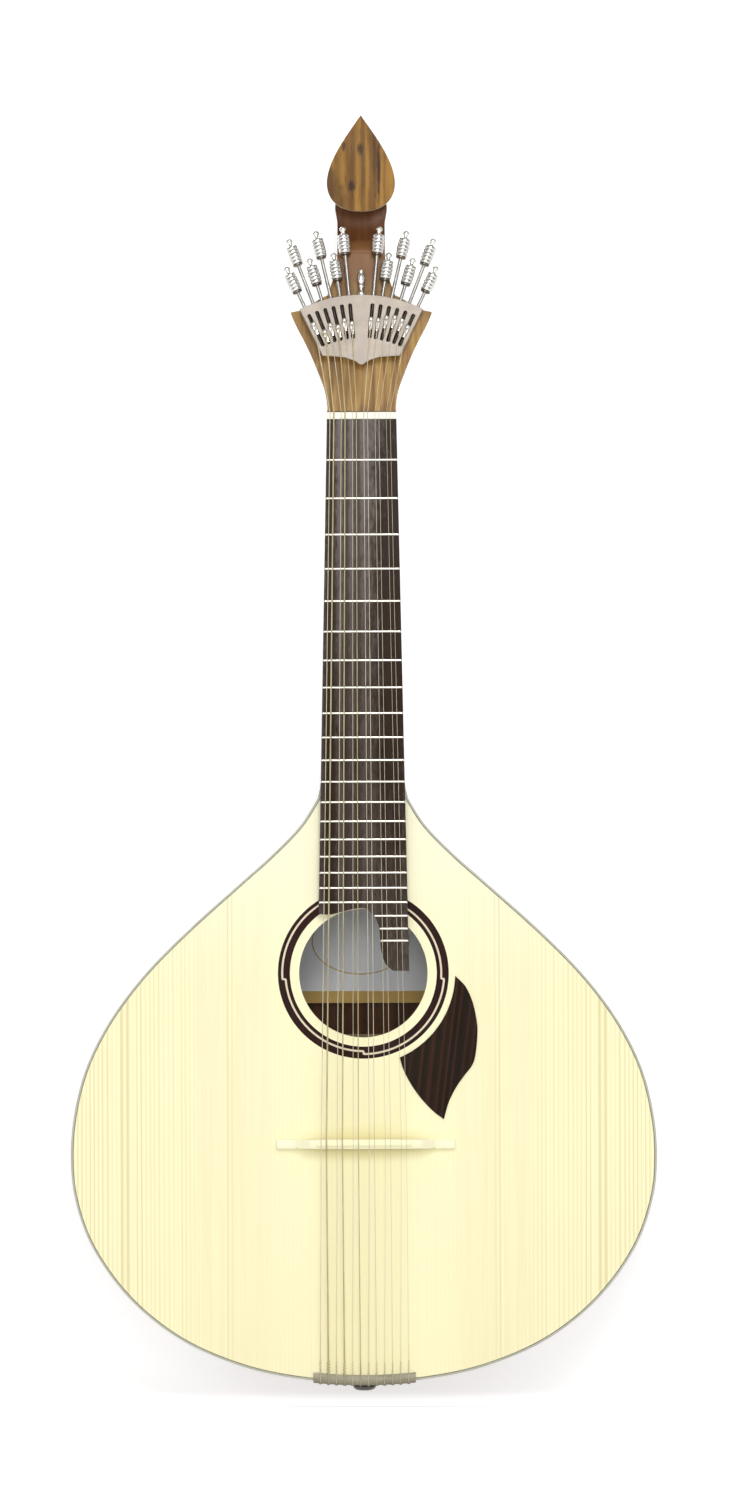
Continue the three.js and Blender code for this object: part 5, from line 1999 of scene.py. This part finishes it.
@dataclass
class Stringing:
    """Bridge, saddle, tailpiece, strap button and the twelve strings."""

    machine: FanMachine = field(default_factory=FanMachine)
    diameters: Row = (0.48, 1, 0.41, 0.84, 0.33, 0.61, 0.41, 0.41, 0.3, 0.3, 0.25, 0.25)
    wound: tuple[int, ...] = (2, 4, 6)
    twist_lengths: Row = (26, 30, 14, 12, 16, 12, 20, 11, 9, 12, 11, 24)
    twist_pitch: float = 1.9
    twist_wire: float = 0.2
    twist_swing: Flat = (0.3, 0.12)
    twist_steps: int = 9
    tail_wire: float = 0.17
    tail_gap: float = 0.04
    tail_bends: Row = (1.5, 0.8, 1.2, 0.6)
    hook_seat: float = 1.4
    loop_wire: float = 0.2
    loop_height: float = -11.6
    loop_lift: float = 0.1
    loop_radius: float = 1.0
    loop_span: Flat = (-60, 240)
    loop_ends: Line = ((0.1, 2.4), (0, 2.6))
    knot_turns: int = 4
    knot_share: float = 0.055
    knot_steps: int = 60
    knot_wire: Flat = (0.7, 0.22)
    nut_pitch: Flat = (7.3, 2.5)
    nut_shift: float = -1
    saddle_pitch: Flat = (10.4, 3.4)
    tail_pitch: float = 5.2
    bridge_half: float = 58
    bridge_shift: float = 1.2
    bridge_thickness: float = 6.5
    bridge_foot: float = 3.2
    bridge_arch: float = 1.8
    bridge_notch: Row = (0.76, 0.03, 0.3)
    bridge_taper: float = 0.04
    bridge_draft: float = 0.05
    bridge_shoulder: float = 0.7
    bridge_arch_end: Flat = (0.7, 0.1)
    bridge_end: Flat = (0.995, 0.5)
    bridge_crown: Line = ((0.8, 0), (0.93, 0.14), (1, 0.5))
    bridge_top: Line = (
        (0, 1), (0.2, 1), (0.4, 1), (0.56, 1), (0.64, 0.86), (0.72, 0.42), (0.79, 0.1), (0.84, 0), (0.92, 0), (1, 0),
    )
    saddle_half_length: float = 31
    saddle_half_thickness: float = 1.2
    saddle_sink: float = 0.3
    tailpiece_half: float = 33.2
    tailpiece_depth: float = 24
    tailpiece_steps: int = 48
    tailpiece_bend: Flat = (1.4, 0.4)
    tailpiece_rim: Flat = (0.3, 0.1)
    pin: Line = ((0.85, -0.5), (0.95, 0), (1, 0.25), (0.95, 0.5), (0.75, 0.72), (0.4, 0.8))
    pin_depth: float = 11
    button_size: Flat = (7.4, 5.4)
    button_depth: float = 38
    button_shares: Line = (
        (0.7, 0), (0.72, 0.05), (0.72, 0.2), (0.86, 0.3), (0.98, 0.42), (1, 0.5), (0.99, 0.6), (0.92, 0.73),
        (0.8, 0.85), (0.62, 0.94), (0.4, 1),
    )

    def build(self) -> None:
        """Builds and dresses every piece that carries the strings, and the strings."""
        self.bridge()
        self.saddle()
        self.tailpiece()
        button = turned(scaled(self.button_shares, *self.button_size), 64)
        place = at(0, self.button_depth, SIZES.tail - SIZES.seat_gap, 180)
        button.moved(place).show("button_dome", BUTTON_METAL, "strap_button")
        for i in range(len(self.diameters)):
            self.string(i)

    def bridge(self) -> None:
        """The bridge, with a notch near each end."""
        top = spline(self.bridge_top, 60)
        foot, rise = self.bridge_foot, SIZES.bridge_height - self.bridge_foot
        (notched, reach, deep), (flat, fade), (last, cut) = self.bridge_notch, self.bridge_arch_end, self.bridge_end
        rings = []
        for along, height in [*mirrored(top[1:]), *top]:
            out = abs(along)
            notch = deep * max(0.0, 1 - abs(out - notched) / reach)
            wide = self.bridge_thickness / 2 * (1 - self.bridge_taper * out - notch)
            narrow = wide * (1 - self.bridge_draft * max(0.0, height))
            tall = foot + clamped(height) * rise
            end = cut if out > last else 0.0
            back = [(narrow * share, tall - drop) for share, drop in self.bridge_crown]
            back += [(wide, foot * self.bridge_shoulder), (wide, self.bridge_arch * clamped((flat - out) / fade))]
            rings.append([
                Vector((
                    along * self.bridge_half + self.bridge_shift, -max(up - end, 0),
                    -SIZES.scale_length + z * (1 - end / 3),
                )) for z, up in (*mirrored(back), *back)
            ])
        loft(rings).show("bridge_bone", BRIDGE_BONE, "bridge", crease=45)

    def saddle(self) -> None:
        """The saddle on the bridge."""
        length, thick = self.saddle_half_length, self.saddle_half_thickness
        foot, place = -SIZES.bridge_height, -SIZES.scale_length
        top, sunk = foot - SIZES.saddle_height, foot + self.saddle_sink
        saddle = block((-length, top, place - thick), (length, sunk, place + thick))
        saddle.show("saddle_bone", SADDLE_BONE, "saddle", rounding=0.5)

    def tailpiece(self) -> None:
        """A sheet bent over the tail, with a pin for each string."""
        gap, lip, depth = SIZES.seat_gap, SIZES.tailpiece_lip, self.tailpiece_depth
        outside = gap + SIZES.tailpiece_thickness
        (far, near), (edge, rise), steps = self.tailpiece_bend, self.tailpiece_rim, self.tailpiece_steps
        profile = (
            (-gap, lip), (edge - outside, lip + rise), (-outside, lip - edge), (-outside, far - outside),
            (near - outside, near - outside), (far - outside, -outside), (depth - near, -outside),
            (depth, near - outside), (depth, -gap), (-gap, -gap),
        )
        places = [self.tailpiece_half * (2 * i / steps - 1) for i in range(steps + 1)]
        sheet = loft([[Vector((x, y, tail_edge(x) + up)) for y, up in profile] for x in places])
        sheet.show("tailpiece_sheet", TAIL_METAL, "tailpiece", crease=BENT_CREASE)
        pins = Shell()
        for x in map(self.tail_x, range(len(self.diameters))):
            pins.add(turned(self.pin, 20).moved(at(x, self.pin_depth, tail_edge(x) - outside, 180)))
        pins.show("tailpiece_pins", TAIL_METAL)

    def pair_x(self, i: int, pitch: float, spread: float) -> float:
        """A string's place across the nut or the saddle, from its pairs' pitch and their spread."""
        return (i // 2 - 2.5) * pitch + (spread if i % 2 else -spread) / 2

    def tail_x(self, i: int) -> float:
        """A string's place across the tailpiece."""
        return (i - (len(self.diameters) - 1) / 2) * self.tail_pitch

    def string(self, i: int) -> None:
        """One string, from its loop on the hook to its pin.

        Args:
            i: Its number, from 0 on the bass side.
        """
        name, radius = f"{i + 1:02d}", self.diameters[i] / 2
        place, seat = SIZES.tuner_place(self.machine.bearings[i]), self.machine.hook_radii[i]
        at_nut, at_tail = self.pair_x(i, *self.nut_pitch) + self.nut_shift, self.tail_x(i)
        lip_height = tail_edge(at_tail) + SIZES.tailpiece_lip
        floor = SIZES.tailpiece_thickness + SIZES.seat_gap
        above_nut = -SIZES.nut_height - SIZES.running_gap - radius
        above_saddle = -SIZES.bridge_height - SIZES.saddle_height - SIZES.running_gap - radius
        hook_end = place @ Vector((0, self.loop_height, seat - self.hook_seat))
        nut_back, nut_front = (Vector((at_nut, above_nut, z)) for z in (SIZES.nut_thickness, 0))
        saddle = Vector((self.pair_x(i, *self.saddle_pitch), above_saddle, -SIZES.scale_length))
        lip = Vector((at_tail, -floor - SIZES.running_gap - radius, lip_height))
        path = [hook_end, nut_back.lerp(hook_end, 0.5), nut_back, nut_front, nut_front.lerp(saddle, 0.5), saddle, lip]
        thin = min(radius, self.tail_wire)
        over, edge = floor + self.tail_gap + thin, tail_edge(at_tail)
        below_lip, past_edge, bend_reach, short = self.tail_bends
        for y, z in (
            (-over, lip_height - below_lip), (-over, edge - past_edge), (bend_reach - over, edge - over),
            (self.pin_depth - short, edge - over),
        ):
            path.append(Vector((at_tail, y, z)))
        bend = Bend(f"hook_{name}", tuple(nut_back * MM), tuple(hook_end * MM))
        finish = WOUND_WIRE if i + 1 in self.wound else PLAIN_WIRE
        tube(path, [radius] * 7 + [thin] * 4, 12).show(f"wire_{name}", finish, f"string_{name}", body=bend)
        most, more = self.twist_swing
        twist = self.twist(self.twist_lengths[i], min(radius, most) + more, hook_end, nut_back)
        twist.show(f"wire_twist_{name}", BRASS, body=bend)
        loop = self.loop(max(radius, self.loop_wire), seat, place)
        loop.show(f"wire_loop_{name}", PLAIN_WIRE, body=f"hook_{name}")
        self.knot(radius, lip, saddle).show(f"wire_knot_{name}", PLAIN_WIRE)

    def twist(self, length: float, swing: float, top: Vector, foot: Vector) -> Shell:
        """Winds a wire's end back on itself below the hook.

        Args:
            length: How long the twist is.
            swing: The radius of its turns.
            top: The wire's end at the hook.
            foot: The wire's place at the nut.

        Returns:
            The twist as a shell.
        """
        steps = int(length * self.twist_steps)
        along = foot - top
        across = along.normalized().orthogonal().normalized()
        up = along.normalized().cross(across)
        path = []
        for t in (step / steps for step in range(steps + 1)):
            turn = spin(2 * pi * length / self.twist_pitch * t, across, up)
            path.append(top.lerp(foot, t * length / along.length) + swing * turn)
        return tube(path, self.twist_wire, 6)

    def loop(self, wire: float, seat: float, place: Matrix) -> Shell:
        """Makes the loop round the hook's post.

        Args:
            wire: The wire's radius.
            seat: The hook's radius in the fan.
            place: The tuner's frame.

        Returns:
            The loop as a shell.
        """
        start, end = (Vector((x, self.loop_height, seat - drop)) for x, drop in self.loop_ends)
        bend = arc(self.loop_radius + wire, *self.loop_span, 24, (0, seat))
        turn = [Vector((x, self.loop_height - self.loop_lift, z)) for x, z in bend]
        return tube([place @ point for point in (start, *turn, end)], wire, 8)

    def knot(self, radius: float, lip: Vector, saddle: Vector) -> Shell:
        """Makes the short twist where the string meets the tailpiece.

        Args:
            radius: The string's radius.
            lip: The string's place over the tailpiece.
            saddle: Its place over the saddle.

        Returns:
            The twist as a shell.
        """
        share, least = self.knot_wire
        wire = max(radius * share, least)
        path = []
        for t in (step / self.knot_steps for step in range(self.knot_steps + 1)):
            turn = spin(2 * pi * self.knot_turns * t, Vector((1, 0, 0)), Vector((0, 1, 0)))
            path.append(lip.lerp(saddle, self.knot_share * t) + (radius + wire) * turn)
        return tube(path, wire, 6)


# Studio


ROOM_LIGHT = (0.53, 0.53, 0.53)
WHITE = (1.0, 1.0, 1.0)


@dataclass
class Studio:
    """A pale floor, a backdrop seen from the front only, soft lamps and the camera."""

    floor_drop: float = 10.0
    backdrop_gap: float = 5.0
    backdrop_lift: float = 0.1
    backdrop_bend: float = 60.0
    floor_half: float = 20000.0
    backdrop_half: float = 3000.0
    backdrop_height: float = 3000.0
    glow: float = 0.712
    stage_tints: tuple[Colour, ...] = ((0.8, 0.8, 0.8), (0.78, 0.78, 0.78))
    stage_shade: Colour = (0.53, 0.53, 0.53)
    floor_fade: float = 10.0
    frame_height: float = 972.4
    distance: float = 20000.0
    aim: Flat = (1.2, -214.5)
    roll: float = -0.18
    sensor: float = 36.0
    lamp_aim: Place = (0, 0, -0.35)
    lamps: tuple[tuple[str, Place, float, float], ...] = (
        ("lamp_top", (0.4, -2.5, 1.35), 1.1, 29.5), ("lamp_low", (-0.1, -2.5, -1.7), 1.1, 22.0),
        ("lamp_front", (-0.3, -2.8, -0.3), 1.6, 26.0), ("lamp_back", (-0.6, 2.4, 0.7), 1.4, 26.0),
    )

    def build(self) -> None:
        """Sets up the stage, the light and the camera."""
        self.floor()
        self.backdrop()
        self.world()
        for lamp in self.lamps:
            self.lamp(*lamp)
        self.camera()
        bpy.context.scene.view_settings.view_transform = "Standard"

    def stage_material(self, name: str, one_sided: bool) -> bpy.types.Material:
        """Makes a white surface that keeps only the deeper part of a shadow.

        Args:
            name: The material's name.
            one_sided: Whether it is clear when seen from behind.

        Returns:
            The material.
        """
        made = bpy.data.materials.new(name)
        paint = Paint(made)
        seen = paint.rays("Camera", "Glossy", "Transmission")
        touched = HANDLING.use(paint, Scale=3.0)["Patches"]
        glow: Value = self.glow
        if one_sided:
            fade = self.level() + self.floor_fade * MM
            glow = paint.parts(paint.place())[2].spread(self.level(), fade, 1.0, self.glow)
            back = paint.out(paint.node("ShaderNodeNewGeometry"), "Backfacing")
            clear = paint.first("ShaderNodeBsdfTransparent")
            sides = paint.first("ShaderNodeMixShader", {0: back, 1: paint.out(paint.shader), 2: clear})
            paint.feed(paint.tree.nodes["Material Output"].inputs["Surface"], sides)
        paint.set({
            "Base Color": paint.mix(seen, paint.mix(touched, *self.stage_tints), self.stage_shade),
            "Roughness": 0.95, "Specular IOR Level": 0.0, "Emission Color": WHITE, "Emission Strength": seen * glow,
        })
        return made

    def sheet(self, name: str, rows: Sequence[Flat], half: float, one_sided: bool) -> bpy.types.Object:
        """Makes a bent sheet of the stage.

        Args:
            name: The sheet's name.
            rows: Places of its rows in Y and Z, in metres.
            half: Half of its width, in metres.
            one_sided: Whether it is clear when seen from behind.

        Returns:
            The sheet.
        """
        points = [(side * half, y, z) for y, z in rows for side in (-1, 1)]
        faces = [(2 * i, 2 * i + 1, 2 * i + 3, 2 * i + 2) for i in range(len(rows) - 1)]
        mesh = bpy.data.meshes.new(name)
        mesh.from_pydata(points, [], faces)
        mesh.shade_smooth()
        mesh.materials.append(self.stage_material(name, one_sided))
        made = linked(name, mesh)
        return made

    def level(self) -> float:
        """The floor's height in metres."""
        return CAD_BOX[0].z - self.floor_drop * MM

    def floor(self) -> None:
        """The floor under the instrument."""
        half = self.floor_half * MM
        self.sheet("floor", [(-half, self.level()), (half, self.level())], half, False)

    def backdrop(self) -> None:
        """A sheet that rises from the floor behind the instrument and takes its soft shadow."""
        bend, back = self.backdrop_bend * MM, CAD_BOX[1].y + self.backdrop_gap * MM
        rise = self.level() + self.backdrop_lift * MM
        rows = arc(bend, -90, 0, 12, (back - bend, rise + bend))
        rows.append((back, rise + self.backdrop_height * MM))
        made = self.sheet("backdrop", rows, self.backdrop_half * MM, True)
        made.visible_diffuse = made.visible_glossy = made.visible_transmission = made.visible_shadow = False

    def world(self) -> None:
        """A plain white room whose sides look darker in metal."""
        world = bpy.data.worlds.new("studio")
        bpy.context.scene.world = world
        world.use_nodes = True
        graph = Graph(world.node_tree)
        graph.tree.nodes.clear()
        x, y, z = graph.parts(graph.place("Generated"))
        aside = graph.math("SQRT", x * x + z * z)
        room = graph.mix(y.spread(-0.1, 0.35), aside.spread(0.4, 0.75, 0.95, 0.36), WHITE)
        level = graph.mix(graph.rays("Glossy"), ROOM_LIGHT, room)
        level = graph.mix(graph.rays("Camera", "Transmission"), level, WHITE)
        shown = graph.first("ShaderNodeBackground", {"Color": WHITE, "Strength": level})
        graph.node("ShaderNodeOutputWorld", {"Surface": shown})

    def lamp(self, name: str, place: Place, size: float, power: float) -> None:
        """A soft square lamp aimed at the body.

        Args:
            name: Its name.
            place: Where it hangs, in metres.
            size: Its width in metres.
            power: Its power in watts.
        """
        data = bpy.data.lights.new(name, "AREA")
        data.shape, data.size, data.energy = "SQUARE", size, power
        made = linked(name, data)
        made.location = place
        made.rotation_euler = (Vector(self.lamp_aim) - Vector(place)).to_track_quat("-Z", "Y").to_euler()
        made.visible_camera = False

    def camera(self) -> None:
        """A long lens straight in front, framed as the photograph is."""
        data = bpy.data.cameras.new("camera")
        data.sensor_width = self.sensor
        data.lens = self.sensor * self.distance / self.frame_height
        data.clip_end = 200.0
        made = linked("camera", data)
        place = at(self.aim[0], -self.distance, self.aim[1], 90)
        made.location = place.translation * MM
        made.rotation_euler = (place @ Matrix.Rotation(radians(self.roll), 4, "Z")).to_euler()
        bpy.context.scene.camera = made


def main() -> None:
    """Builds the instrument and the studio round it."""
    logging.basicConfig(level=logging.INFO, format="%(message)s")
    Studio().build()
    for assembly in (Body(), Neck(), FanMachine(), Stringing()):
        LOG.info("building %s", type(assembly).__name__)
        assembly.build()


if __name__ == "__main__":
    main()
